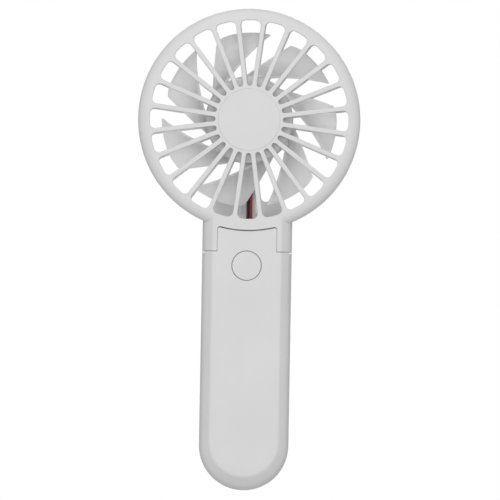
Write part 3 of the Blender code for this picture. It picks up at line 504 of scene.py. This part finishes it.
def slot_cutter(name, inner_end, outer_end, face_y, inner_y, soft):
    """One slot's cutter. It flares at both faces of the plate, which rounds the edges that it leaves."""
    inward = 1 if inner_y > face_y else -1
    depth = abs(inner_y - face_y)
    stations = [(-0.0010, soft)]
    stations += [(soft * (1 - math.cos(a)), soft * (1 - math.sin(a))) for a in (0, 0.39, 0.79, 1.18, 1.57)]
    stations += [(depth - back, spread) for back, spread in reversed(stations[1:])]
    stations.append((depth + 0.0006, soft))
    loops = []
    for down, spread in stations:
        outline = slot_outline(inner_end, outer_end, 0.00098, 0.0021, spread)
        loops.append(across(outline, face_y + inward * down))
    return loft(name, loops)


def node_tree_for_copies(name):
    """A tree that sets like copies of a piece round an axis along Y, from a first angle by even steps."""
    tree = bpy.data.node_groups.new(name, "GeometryNodeTree")
    face = tree.interface
    for label, kind in (("Piece", "Geometry"), ("Copies", "Int"), ("First Angle", "Float"),
                        ("Step Angle", "Float"), ("Centre", "Vector"), ("Finish", "Material")):
        face.new_socket(label, in_out="INPUT", socket_type="NodeSocket" + kind)
    face.new_socket("Ring", in_out="OUTPUT", socket_type="NodeSocketGeometry")
    given, result = tree.nodes.new("NodeGroupInput"), tree.nodes.new("NodeGroupOutput")
    line = tree.nodes.new("GeometryNodeMeshLine")
    line.inputs["Offset"].default_value = (0, 0, 0)
    tree.links.new(given.outputs["Copies"], line.inputs["Count"])
    steps, angle = tree.nodes.new("GeometryNodeInputIndex"), tree.nodes.new("ShaderNodeMath")
    angle.operation = "MULTIPLY_ADD"
    tree.links.new(steps.outputs["Index"], angle.inputs[0])
    tree.links.new(given.outputs["Step Angle"], angle.inputs[1])
    tree.links.new(given.outputs["First Angle"], angle.inputs[2])
    turn = tree.nodes.new("ShaderNodeCombineXYZ")
    tree.links.new(angle.outputs["Value"], turn.inputs["Y"])
    copies = tree.nodes.new("GeometryNodeInstanceOnPoints")
    tree.links.new(line.outputs["Mesh"], copies.inputs["Points"])
    tree.links.new(given.outputs["Piece"], copies.inputs["Instance"])
    tree.links.new(turn.outputs["Vector"], copies.inputs["Rotation"])
    placed = tree.nodes.new("GeometryNodeTranslateInstances")
    placed.inputs["Local Space"].default_value = False
    tree.links.new(copies.outputs["Instances"], placed.inputs["Instances"])
    tree.links.new(given.outputs["Centre"], placed.inputs["Translation"])
    real, finish = tree.nodes.new("GeometryNodeRealizeInstances"), tree.nodes.new("GeometryNodeSetMaterial")
    tree.links.new(placed.outputs["Instances"], real.inputs["Geometry"])
    tree.links.new(real.outputs["Geometry"], finish.inputs["Geometry"])
    tree.links.new(given.outputs["Finish"], finish.inputs["Material"])
    tree.links.new(finish.outputs["Geometry"], result.inputs["Ring"])
    return tree


copies_tree = node_tree_for_copies("copies_round_an_axis")


def run_tree(obj, tree, values):
    """Runs a tree on an object with its named inputs set, and keeps the mesh that comes out."""
    step = obj.modifiers.new(tree.name, "NODES")
    step.node_group = tree
    for socket in tree.interface.items_tree:
        if socket.in_out == "INPUT" and socket.name in values:
            step[socket.identifier] = values[socket.name]
    return settle(obj)


def ring_of(piece, count, first, step, material, centre=(head_x, 0, head_z)):
    values = {"Copies": count, "First Angle": math.radians(first), "Step Angle": math.radians(step)}
    return run_tree(piece, copies_tree, {**values, "Centre": centre, "Finish": material})


rear_inside_y = head_back_y - plate
rear_grille = drum_solid("rear_casing", head_radius, head_back_y, split_y + parting, rim_width, rim_depth)
rear_ears = ears_solid("rear_ears", back_y, split_y + parting)
heel = box_between("heel", (-0.09, hinge_y, -0.09), (0.09, 0.09, hinge_z))
circle = arc(ear_reach + step, 0, 360, 96)[:-1]
ear_round = loft("ear_round", [[(x, hinge_y + a, hinge_z + b) for a, b in circle] for x in (-0.1, 0.1)])
behind = box_between("behind_ears", (-0.09, hinge_y + ear_reach, -0.09), (0.09, 0.09, 0.20))
carve(rear_ears, "DIFFERENCE", [carve(heel, "DIFFERENCE", [ear_round]), behind])
carve(rear_grille, "UNION", [rear_ears])
rear_room = drum_solid("rear_room", head_radius - wall, rear_inside_y, split_y - 0.004, 0.0014, 0.0034)
carve(rear_grille, "DIFFERENCE", [rear_room])
cup = rounds("cup", [(0.0139, 0.0026), (0.0139, rear_inside_y + 0.0005)], head_x, head_z, 96)
lugs = [
    box_between(f"lug_{n}", (low, -0.0025, head_z - 0.0019), (high, rear_inside_y + 0.0005, head_z + 0.0019))
    for n, (low, high) in enumerate(((-0.0163, -0.0131), (0.0131, 0.0163)))
]
ribs = [
    box_between(f"rib_{n}", (low, 0.0140, head_z - 0.0386), (high, rear_inside_y + 0.0005, head_z - 0.0130))
    for n, (low, high) in enumerate(((-0.0038, -0.0030), (0.0030, 0.0038)))
]
rim_screw_names = [f"rim_screw_{n}" for n in range(1, 5)]
posts = [
    rounds(f"post_{n}", [(0.0020, split_y + 0.0001), (0.0020, head_back_y - 0.0022)], x, z, 40)
    for n, (x, _, _, z) in enumerate(screw_spots(rim_screw_names))
]
bridge = box_between("bridge", (-0.0037, 0.0141, head_z - 0.0260), (0.0037, 0.0148, head_z - 0.0160))
carve(rear_grille, "UNION", [cup, *lugs, *ribs, bridge, *posts])
rear_slots = slot_cutter("rear_slots", 0.0154, 0.0422, head_back_y, rear_inside_y, 0.00035)
ring_of(rear_slots, 21, 210, 15, casing_plastic)
short_slots = slot_cutter("short_slots", 0.0154, 0.0345, head_back_y, rear_inside_y, 0.00035)
ring_of(short_slots, 2, 165, 30, casing_plastic)
cup_room = rounds("cup_room", [(0.0125, -0.001), (0.0125, rear_inside_y + 0.0001)], head_x, head_z, 96)
lead_notch = box_between(
    "lead_notch", (-0.0022, 0.0125, head_z - 0.0150), (0.0034, rear_inside_y - 0.0001, head_z - 0.0110)
)
lead_way = box_between("lead_way", (0.0143, 0.0040, head_z - 0.0517), (0.0170, 0.0090, head_z - 0.0390))
pin_bores = []
for name, low, high in (("left_pin_bore", -0.0162, -0.010), ("right_pin_bore", 0.010, 0.0150)):
    circle = arc(0.0019, 0, 360, 48)[:-1]
    pin_bores.append(loft(name, [[(x, hinge_y + a, hinge_z + b) for a, b in circle] for x in (low, high)]))
post_holes = []
for n, (x, _, _, z) in enumerate(screw_spots(rim_screw_names)):
    post_holes.append(rounds(f"post_hole_{n}", [(0.0010, split_y - 0.002), (0.0010, head_back_y)], x, z, 32))
    post_holes.append(rounds(f"post_recess_{n}", [(0.0015, 0.0141), (0.0015, head_back_y + 0.002)], x, z, 48))
pocket = pocket_solid("rear_pocket")
carve(rear_grille, "DIFFERENCE", [rear_slots, short_slots, cup_room, pocket, lead_notch, lead_way])
carve(rear_grille, "DIFFERENCE", [*pin_bores, *post_holes])
# The rear half's lighter grey is painted light: a lit copy of the casing's plastic that brightens the shaded
# inside of the head.
rear_plastic_painted_light = moulded_plastic("rear_plastic_painted_light", (0.76, 0.76, 0.76), 0.52)
dress(smooth(rear_grille), rear_plastic_painted_light, "head", "shell_plastic", "rear_grille")

# Front grille: the front half of the head, with its twenty-four even slots, the flat ears on either
# side of the tongue and a shallow round recess at the hub for the cap.
front_inside_y = front_y + plate
front_grille = drum_solid("front_casing", head_radius, front_y, split_y - parting, rim_width, rim_depth)
carve(front_grille, "UNION", [ears_solid("front_ears", front_y, split_y - parting)])
front_room = drum_solid("front_room", head_radius - wall, front_inside_y, split_y + 0.004, 0.0019, 0.0034)
carve(front_grille, "DIFFERENCE", [front_room])
front_posts = [
    rounds(f"front_post_{n}", [(0.0020, front_y + 0.0022), (0.0020, split_y - 0.0001)], x, z, 40)
    for n, (x, _, _, z) in enumerate(screw_spots(rim_screw_names))
]
carve(front_grille, "UNION", front_posts)
front_slots = slot_cutter("front_slots", 0.0140, 0.04105, front_y, front_inside_y, 0.00035)
ring_of(front_slots, 24, 0, 15, casing_plastic)
cap_radius, cap_gap = 0.01278, 0.00003
cap_recess = [(cap_radius + cap_gap, front_y - 0.001), (cap_radius + cap_gap, front_y + 0.0011)]
front_post_holes = [
    rounds(f"front_post_hole_{n}", [(0.0010, front_y + 0.0050), (0.0010, split_y + 0.002)], x, z, 32)
    for n, (x, _, _, z) in enumerate(screw_spots(rim_screw_names))
]
cap_seat = rounds("cap_seat", cap_recess, head_x, head_z, 192)
carve(front_grille, "DIFFERENCE", [front_slots, pocket_solid("front_pocket"), cap_seat, *front_post_holes])
dress(smooth(front_grille), casing_plastic, "head", "shell_plastic", "front_grille")

# Hub cap: a thin disc of the casing's plastic glued flush into the recess at the hub, so that only a
# hairline shows round it.
cap_edge = 0.00008
cap_profile = [(cap_radius - cap_edge, front_y), (cap_radius, front_y + cap_edge)]
cap_profile += [(cap_radius, front_y + 0.0010)]
hub_cap = rounds("hub_disc", cap_profile, head_x, head_z, 192)
dress(smooth(hub_cap), casing_plastic, "head", "shell_plastic", "hub_cap")

# Impeller: seven swept blades round a cup that covers the motor, one moulding in a milky plastic that
# lets a little light through. Each blade leans back from the front edge, and its outer corner is round.
hub_radius, tip_radius, blade_count = 0.01815, 0.0362, 7


def blade_place(across_it, along_it):
    """across_it runs from the edge in front to the edge behind, and along_it from the hub to the tip."""
    root = hub_radius - 0.0008
    corner = max(0.0, (across_it - 0.75) / 0.25)
    radius = root + along_it * (tip_radius - 0.0009 * corner**2 - root)
    trailing = -65.65 + 450 * radius + math.degrees(math.acos(0.0167 / radius))
    leading = -94.76 + 190 * radius + math.degrees(math.acos(0.01513 / radius))
    x, z = polar(radius, trailing + across_it * (leading - trailing))
    front, back = -0.0052 + 0.0012 * along_it, 0.0078 - 0.0042 * along_it
    return x, front + across_it * (back - front) + 0.0010 * math.sin(math.pi * across_it), z


blade_shape = bmesh.new()
grid = bmesh.ops.create_grid(blade_shape, x_segments=28, y_segments=22, size=0.5)
for corner in grid["verts"]:
    corner.co = blade_place(corner.co.x + 0.5, corner.co.y + 0.5)
bmesh.ops.recalc_face_normals(blade_shape, faces=blade_shape.faces)
blade_mesh = bpy.data.meshes.new("blades")
blade_shape.to_mesh(blade_mesh)
blade_shape.free()
blades = in_scene("blades", blade_mesh)
thick = blades.modifiers.new("thick", "SOLIDIFY")
thick.thickness, thick.offset = 0.0010, 0
soften = blades.modifiers.new("soften", "BEVEL")
soften.width, soften.segments, soften.limit_method = 0.0003, 3, "ANGLE"
soften.angle_limit, soften.use_clamp_overlap = math.radians(50), False
settle(blades)


def milky_plastic(name, colour, roughness):
    """Moulded plastic that part of the light goes through."""
    material = moulded_plastic(name, colour, roughness, 0.0004, 0.000008)
    tree = material.node_tree
    through, both = tree.nodes.new("ShaderNodeBsdfTranslucent"), tree.nodes.new("ShaderNodeMixShader")
    through.inputs["Color"].default_value = (*colour, 1)
    both.inputs["Fac"].default_value = 0.55
    tree.links.new(tree.nodes["Principled BSDF"].outputs["BSDF"], both.inputs[1])
    tree.links.new(through.outputs["BSDF"], both.inputs[2])
    tree.links.new(both.outputs["Shader"], tree.nodes["Material Output"].inputs["Surface"])
    return material


blade_plastic = milky_plastic("blade_plastic", (0.86, 0.86, 0.86), 0.38)
ring_of(blades, blade_count, 0, 360 / blade_count, blade_plastic)
cup_face, cup_skirt, cup_wall = -0.0076, 0.0090, 0.0014
hub_profile = [(hub_radius - 0.0010 * (1 - math.sin(a)), cup_face + 0.0010 * (1 - math.cos(a)))
               for a in (0.0, 0.4, 0.8, 1.2, 1.5708)]
hub_profile += [(hub_radius, cup_skirt)]
impeller = rounds("fan_wheel", hub_profile, head_x, head_z, 144)
hub_room = [(hub_radius - cup_wall, cup_face + cup_wall), (hub_radius - cup_wall, cup_skirt + 0.001)]
boss = rounds("hub_boss", [(0.0030, cup_face + 0.0005), (0.0030, -0.0048)], head_x, head_z, 48)
bore = rounds("hub_bore", [(0.00105, -0.0067), (0.00105, -0.0030)], head_x, head_z, 32)
carve(impeller, "DIFFERENCE", [rounds("hub_room", hub_room, head_x, head_z, 144)])
carve(impeller, "UNION", [boss, blades])
carve(impeller, "DIFFERENCE", [bore])
dress(smooth(impeller, 40), blade_plastic, "impeller", "blade_plastic", "impeller")

# Motor leads: one black and one red wire in soft PVC, soldered to the motor's terminals, laid side by
# side down the channel behind the grille, then round the tongue to the right ear's hollow hinge pin.
lead_radius = 0.00060


def smooth_wire(name, route, radius):
    """A round wire along a smooth curve through the route, given in millimetres from the head's centre."""
    first = [2 * a - b for a, b in zip(route[0], route[1])]
    last = [2 * a - b for a, b in zip(route[-1], route[-2])]
    knots, points = [first, *route, last], []
    for before, start, stop, after in zip(knots, knots[1:], knots[2:], knots[3:]):
        for t in (i / 8 for i in range(8)):
            points.append([
                b + 0.5 * t * ((c - a) + t * ((2 * a - 5 * b + 4 * c - d) + t * (3 * b - a - 3 * c + d)))
                for a, b, c, d in zip(before, start, stop, after)
            ])
    points.append(route[-1])
    curve = bpy.data.curves.new(name, "CURVE")
    curve.dimensions, curve.bevel_depth, curve.bevel_resolution = "3D", radius, 6
    curve.use_fill_caps = True
    spline = curve.splines.new("POLY")
    spline.points.add(len(points) - 1)
    for knot, (x, y, z) in zip(spline.points, points):
        knot.co = (x / 1000, y / 1000, head_z + z / 1000, 1)
    drawn = in_scene(name + "_curve", curve)
    bpy.context.view_layer.update()
    graph = bpy.context.evaluated_depsgraph_get()
    mesh = bpy.data.meshes.new_from_object(drawn.evaluated_get(graph))
    bpy.data.objects.remove(drawn)
    shape = bmesh.new()
    shape.from_mesh(mesh)
    bmesh.ops.remove_doubles(shape, verts=shape.verts, dist=0.000001)
    bmesh.ops.recalc_face_normals(shape, faces=shape.faces)
    shape.to_mesh(mesh)
    shape.free()
    mesh.shade_smooth()
    mesh.set_sharp_from_angle(angle=math.radians(50))
    return in_scene(name, mesh)


black_route = [
    (-4.6, 14.6, -7.2), (-3.2, 15.7, -9.0), (-0.8, 16.3, -11.6), (-0.15, 16.4, -15.0), (-0.15, 16.4, -26.0),
    (-0.15, 16.4, -38.5), (-0.10, 16.4, -41.2), (0.9, 16.3, -42.6), (3.0, 15.5, -43.2), (6.5, 13.6, -43.1),
    (10.5, 10.4, -42.1), (13.6, 8.1, -41.0), (15.2, 7.7, -41.8), (15.7, 7.6, -44.6), (15.7, 7.6, -48.4),
    (15.1, 7.6, -49.9), (13.6, 7.6, -50.3), (9.1, 7.6, -50.3),
]
red_route = [
    (5.0, 14.6, -7.2), (4.0, 15.7, -9.0), (1.8, 16.3, -11.8), (1.1, 16.4, -15.0), (1.1, 16.4, -26.0),
    (1.1, 16.4, -38.5), (1.1, 16.4, -40.0), (1.4, 15.9, -41.4), (2.9, 14.6, -42.0), (5.2, 12.9, -42.1),
    (7.6, 11.4, -42.0), (11.0, 8.8, -41.2), (13.8, 6.8, -40.3), (15.3, 6.4, -41.2), (15.7, 6.4, -44.0),
    (15.7, 6.4, -48.4), (15.1, 6.4, -49.9), (13.6, 6.4, -50.3), (9.1, 6.4, -50.3),
]
black_pvc = moulded_plastic("black_pvc", (0.020, 0.020, 0.022), 0.40, 0.0006, 0.000006)
red_pvc = moulded_plastic("red_pvc", (0.40, 0.025, 0.045), 0.38, 0.0006, 0.000006)
black_lead = smooth_wire("black_motor_wire", black_route, lead_radius)
red_lead = smooth_wire("red_motor_wire", red_route, lead_radius)
dress(black_lead, black_pvc, "head", "lead_black", "motor_lead_black")
dress(red_lead, red_pvc, "head", "lead_red", "motor_lead_red")

# Screws: cross-recess pan heads on plated steel, with a thread that cuts its own way into the plastic.
# Four hold the handle's covers together, two the control board, four the halves of the head, and two the
# plate that keeps the motor in its cup. Each set is one tree that puts like screws on its spots.
def node_tree_for_spots():
    """A tree that sets a like piece on every point of the object, turned alike, and finishes them."""
    tree = bpy.data.node_groups.new("pieces_on_spots", "GeometryNodeTree")
    face = tree.interface
    inputs = (("Spots", "Geometry"), ("Piece", "Object"), ("Turn", "Vector"), ("Finish", "Material"))
    for label, kind in inputs:
        face.new_socket(label, in_out="INPUT", socket_type="NodeSocket" + kind)
    face.new_socket("Set", in_out="OUTPUT", socket_type="NodeSocketGeometry")
    given, result = tree.nodes.new("NodeGroupInput"), tree.nodes.new("NodeGroupOutput")
    source, copies = tree.nodes.new("GeometryNodeObjectInfo"), tree.nodes.new("GeometryNodeInstanceOnPoints")
    real, finish = tree.nodes.new("GeometryNodeRealizeInstances"), tree.nodes.new("GeometryNodeSetMaterial")
    tree.links.new(given.outputs["Piece"], source.inputs["Object"])
    tree.links.new(given.outputs["Spots"], copies.inputs["Points"])
    tree.links.new(source.outputs["Geometry"], copies.inputs["Instance"])
    tree.links.new(given.outputs["Turn"], copies.inputs["Rotation"])
    tree.links.new(copies.outputs["Instances"], real.inputs["Geometry"])
    tree.links.new(real.outputs["Geometry"], finish.inputs["Geometry"])
    tree.links.new(given.outputs["Finish"], finish.inputs["Material"])
    tree.links.new(finish.outputs["Geometry"], result.inputs["Set"])
    return tree


spots_tree = node_tree_for_spots()


def set_on_spots(name, piece, spots, turn, material):
    mesh = bpy.data.meshes.new(name)
    mesh.from_pydata(spots, [], [])
    values = {"Piece": piece, "Turn": turn, "Finish": material}
    pieces_set = run_tree(in_scene(name, mesh), spots_tree, values)
    bpy.data.objects.remove(piece)
    return pieces_set


def worked(name, colour, other, metallic, roughness, scale, stretch=(1, 1, 1), relief=0.000008):
    """A worked material: two tones in a noise that can be drawn out one way, uneven gloss and relief."""
    material = bpy.data.materials.new(name)
    material.use_nodes = True
    tree = material.node_tree
    shader = tree.nodes["Principled BSDF"]
    shader.inputs["Metallic"].default_value = metallic
    place, drawn = tree.nodes.new("ShaderNodeTexCoord"), tree.nodes.new("ShaderNodeMapping")
    drawn.inputs["Scale"].default_value = stretch
    noise, tint = tree.nodes.new("ShaderNodeTexNoise"), tree.nodes.new("ShaderNodeValToRGB")
    noise.inputs["Scale"].default_value = scale
    noise.inputs["Detail"].default_value = 6
    tint.color_ramp.elements[0].position, tint.color_ramp.elements[1].position = 0.35, 0.65
    tint.color_ramp.elements[0].color, tint.color_ramp.elements[1].color = (*colour, 1), (*other, 1)
    gloss, bump = tree.nodes.new("ShaderNodeMapRange"), tree.nodes.new("ShaderNodeBump")
    gloss.inputs["To Min"].default_value = roughness - 0.08
    gloss.inputs["To Max"].default_value = roughness + 0.08
    bump.inputs["Strength"].default_value = 0.5
    bump.inputs["Distance"].default_value = relief
    tree.links.new(place.outputs["Object"], drawn.inputs["Vector"])
    tree.links.new(drawn.outputs["Vector"], noise.inputs["Vector"])
    tree.links.new(noise.outputs["Fac"], tint.inputs["Fac"])
    tree.links.new(noise.outputs["Fac"], gloss.inputs["Value"])
    tree.links.new(noise.outputs["Fac"], bump.inputs["Height"])
    tree.links.new(tint.outputs["Color"], shader.inputs["Base Color"])
    tree.links.new(gloss.outputs["Result"], shader.inputs["Roughness"])
    tree.links.new(bump.outputs["Normal"], shader.inputs["Normal"])
    return material


plated_steel = worked("plated_steel", (0.50, 0.50, 0.51), (0.62, 0.62, 0.63), 1.0, 0.30, 900, (1, 6, 1))


def screw_piece(head_radius, head_height, shank_radius, length):
    """One screw along Y from the middle of its head, which faces back: a domed head and a ringed thread."""
    dome, pitch, tip, core = head_height * 0.45, 0.00055, 0.0009, shank_radius * 0.78
    profile = [(head_radius * 0.5, 0.0), (head_radius * 0.80, -dome * 0.25)]
    profile += [(head_radius * 0.95, -dome * 0.6), (head_radius, -dome)]
    profile += [(head_radius, -head_height), (core, -head_height - 0.0001)]
    turns = int((length - tip - head_height - 0.0008) / pitch)
    for n in range(turns):
        at = -head_height - 0.0006 - n * pitch
        profile += [(core, at), (shank_radius, at - pitch * 0.35), (core, at - pitch * 0.7)]
    profile += [(shank_radius * 0.7, -length + tip * 0.5), (shank_radius * 0.2, -length)]
    screw = rounds("screw", profile, 0, 0, 40)
    reach, half, deep = head_radius * 0.55, head_radius * 0.13, head_height * 0.6
    for name, x, z in (("slot_across", reach, half), ("slot_along", half, reach)):
        carve(screw, "DIFFERENCE", [box_between(name, (-x, -deep, -z), (x, 0.001, z))])
    return smooth(screw, 30)


for body, name, names, head_height, shank_radius, faces_back in (
    ("handle", "case_screws", case_screw_names, 0.0009, 0.0008, True),
    ("handle", "board_screws", ["board_screw_1", "board_screw_2"], 0.0008, 0.00065, True),
    ("head", "rim_screws", rim_screw_names, 0.0009, 0.0008, True),
    ("head", "retainer_screws", ["retainer_screw_1", "retainer_screw_2"], 0.0007, 0.00065, False),
):
    low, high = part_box(names[0])
    piece = screw_piece((high.x - low.x) / 2, head_height, shank_radius, high.y - low.y)
    spots = [(x, far if faces_back else near, z) for x, near, far, z in screw_spots(names)]
    turn = (0, 0, 0 if faces_back else math.pi)
    screws = set_on_spots(name, piece, spots, turn, plated_steel)
    dress(screws, plated_steel, body, "steel", *names)

# USB-C socket: a seamless drawn steel shell soldered to the charge board, with the black tongue in its
# middle that carries a row of gold-plated contacts on either side.
socket_low, socket_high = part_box("usb_socket")
socket_half = (socket_high.x - socket_low.x) / 2
socket_y, socket_thick = (socket_low.y + socket_high.y) / 2, (socket_high.y - socket_low.y) / 2


def socket_form(name, inset, low_z, high_z):
    half_high = socket_thick - inset
    ends = socket_half - socket_thick
    outline = arc(half_high, 0, 180, 20, ends, 0) + arc(half_high, 180, 360, 20, -ends, 0)
    return loft(name, [[(x, socket_y + y, z) for x, y in outline] for z in (low_z, high_z)])


socket = socket_form("socket_shell", 0, socket_low.z, socket_high.z)
room_low, room_high = socket_low.z - 0.001, socket_high.z - 0.0006
carve(socket, "DIFFERENCE", [socket_form("socket_room", 0.0003, room_low, room_high)])
drawn_steel = worked("drawn_steel", (0.58, 0.58, 0.58), (0.70, 0.70, 0.70), 1.0, 0.26, 700, (1, 1, 0.1))
dress(smooth(socket), drawn_steel, "handle", "steel", "usb_socket")

bar_low, bar_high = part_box("usb_contact_bar")
tongue_bar = box_between("socket_tongue", bar_low, bar_high)
round_off = tongue_bar.modifiers.new("round_off", "BEVEL")
round_off.width, round_off.segments = 0.00015, 3
dark_plastic = moulded_plastic("dark_plastic", (0.022, 0.022, 0.023), 0.42)
dress(smooth(settle(tongue_bar)), dark_plastic, "handle", "dark_plastic", "usb_contact_bar")

contact_count, contact_pitch, contact_half = 12, 0.0005, 0.00013
contact_points = []
for side_y in (bar_low.y, bar_high.y):
    for n in range(contact_count):
        contact_points.append(((n - (contact_count - 1) / 2) * contact_pitch, side_y, bar_low.z + 0.0018))
contact = box_between("contact", (-contact_half, -0.00004, -0.0012), (contact_half, 0.00004, 0.0012))
gold = worked("gold_plate", (0.80, 0.58, 0.26), (0.90, 0.68, 0.34), 1.0, 0.24, 1200, (1, 1, 0.2))
contacts = set_on_spots("socket_contacts", contact, contact_points, (0, 0, 0), gold)
dress(contacts, gold, "handle", "nickel")

# Charge light: a short round light guide, clear moulded plastic with a domed end in the lower edge.
lens_radius = (light_high.x - light_low.x) / 2
lens_profile = [
    (lens_radius * math.sin(a), light_low.z + 0.0003 * (1 - math.cos(a))) for a in (0.35, 0.7, 1.1, 1.57)
]
lens_profile += [(lens_radius, light_high.z - 0.0001), (lens_radius - 0.0001, light_high.z)]
ring = arc(1.0, 0, 360, 40)[:-1]
lens_loops = [[(light_x + r * a, light_y + r * b, z) for a, b in ring] for r, z in lens_profile]
lens = loft("light_guide", lens_loops)
clear_plastic = moulded_plastic("clear_plastic", (0.85, 0.88, 0.90), 0.15, 0.0008, 0.000003)
clear_plastic.node_tree.nodes["Principled BSDF"].inputs["Transmission Weight"].default_value = 0.6
dress(smooth(lens), clear_plastic, "handle", "clear_lens", "charge_light")


# Inner pieces whose CAD shape is right as it is: the boards, the cell and its welded tabs, the wires in
# the handle, the switch, the hinge, and the motor with its magnets, armature and brushes. They keep their
# shape and take the real piece's material.
def patterned(name, texture, settings, colour, other, metallic, roughness, relief):
    """A material whose two tones and relief follow a regular pattern, such as turns of wire or tracks."""
    material = worked(name, colour, other, metallic, roughness, 600, (1, 1, 1), relief)
    tree = material.node_tree
    pattern, mix = tree.nodes.new(texture), tree.nodes.new("ShaderNodeMath")
    for label, value in settings.items():
        pattern.inputs[label].default_value = value
    mix.operation = "MULTIPLY_ADD"
    mix.inputs[1].default_value = 0.2
    noise = next(node for node in tree.nodes if node.type == "TEX_NOISE")
    tint = next(node for node in tree.nodes if node.type == "VALTORGB")
    bump = next(node for node in tree.nodes if node.type == "BUMP")
    place = next(node for node in tree.nodes if node.type == "TEX_COORD")
    shade = pattern.outputs["Fac"] if "Fac" in pattern.outputs else pattern.outputs["Distance"]
    tree.links.new(place.outputs["Object"], pattern.inputs["Vector"])
    tree.links.new(noise.outputs["Fac"], mix.inputs[0])
    tree.links.new(shade, mix.inputs[2])
    tree.links.new(mix.outputs["Value"], tint.inputs["Fac"])
    tree.links.new(mix.outputs["Value"], bump.inputs["Height"])
    return material


wire_turns = {"Scale": 900.0, "Distortion": 0.4, "Detail": 1.0}
tracks = {"Scale": 420.0}
finishes = {
    patterned("circuit_board", "ShaderNodeTexBrick", tracks, (0.012, 0.115, 0.050), (0.030, 0.190, 0.085),
              0.0, 0.30, 0.00002): ("control_board", "charge_board"),
    worked("shrink_sleeve", (0.035, 0.165, 0.400), (0.050, 0.205, 0.470), 0.0, 0.28, 120, (1, 1, 4),
           0.00003): ("battery_cell",),
    worked("nickel_strip", (0.58, 0.56, 0.52), (0.70, 0.67, 0.62), 1.0, 0.32, 800, (0.2, 1, 1)): (
        "battery_tab_positive", "battery_tab_negative", "motor_terminal_left", "motor_terminal_right"),
    black_pvc: ("handle_lead_black", "battery_lead_negative", "charge_lead_black"),
    red_pvc: ("handle_lead_red", "battery_lead_positive", "charge_lead_red"),
    dark_plastic: ("switch_body", "switch_plunger", "motor_end_cap"),
    worked("acetal", (0.76, 0.75, 0.72), (0.82, 0.81, 0.78), 0.0, 0.45, 500): (
        "hinge_bush_left", "hinge_bush_right"),
    worked("ground_steel", (0.48, 0.48, 0.49), (0.60, 0.60, 0.61), 1.0, 0.28, 700, (0.1, 1, 1)): (
        "friction_clip", "hinge_pin_left", "hinge_pin_right"),
    worked("motor_plate", (0.52, 0.52, 0.53), (0.64, 0.64, 0.65), 1.0, 0.34, 500, (1, 0.15, 1)): (
        "motor_case", "motor_shaft", "armature_core"),
    worked("sintered_bronze", (0.40, 0.25, 0.11), (0.56, 0.37, 0.18), 0.9, 0.50, 1800, (1, 1, 1), 0.00002): (
        "motor_bearing_front", "motor_bearing_rear"),
    worked("ferrite", (0.045, 0.045, 0.048), (0.075, 0.075, 0.080), 0.0, 0.62, 1500, (1, 1, 1), 0.00002): (
        "magnet_left", "magnet_right"),
    worked("pressed_carbon", (0.016, 0.016, 0.016), (0.034, 0.034, 0.034), 0.2, 0.48, 2000): (
        "brush_upper", "brush_lower"),
    worked("retainer_plastic", (0.74, 0.73, 0.70), (0.80, 0.79, 0.76), 0.0, 0.50, 450): ("motor_retainer",),
    patterned("enamelled_wire", "ShaderNodeTexWave", wire_turns, (0.42, 0.15, 0.05), (0.80, 0.36, 0.15),
              1.0, 0.32, 0.00008): ("armature_winding_1", "armature_winding_2", "armature_winding_3"),
    patterned("commutator_copper", "ShaderNodeTexWave", wire_turns, (0.55, 0.27, 0.13), (0.80, 0.42, 0.20),
              1.0, 0.30, 0.00003): ("commutator",),
}
for material, names in finishes.items():
    for name in names:
        cad_piece = frame["nodes"][name]
        if not cad_piece.material_slots:
            cad_piece.data.materials.append(material)
        for kept in cad_piece.material_slots:
            kept.material = material
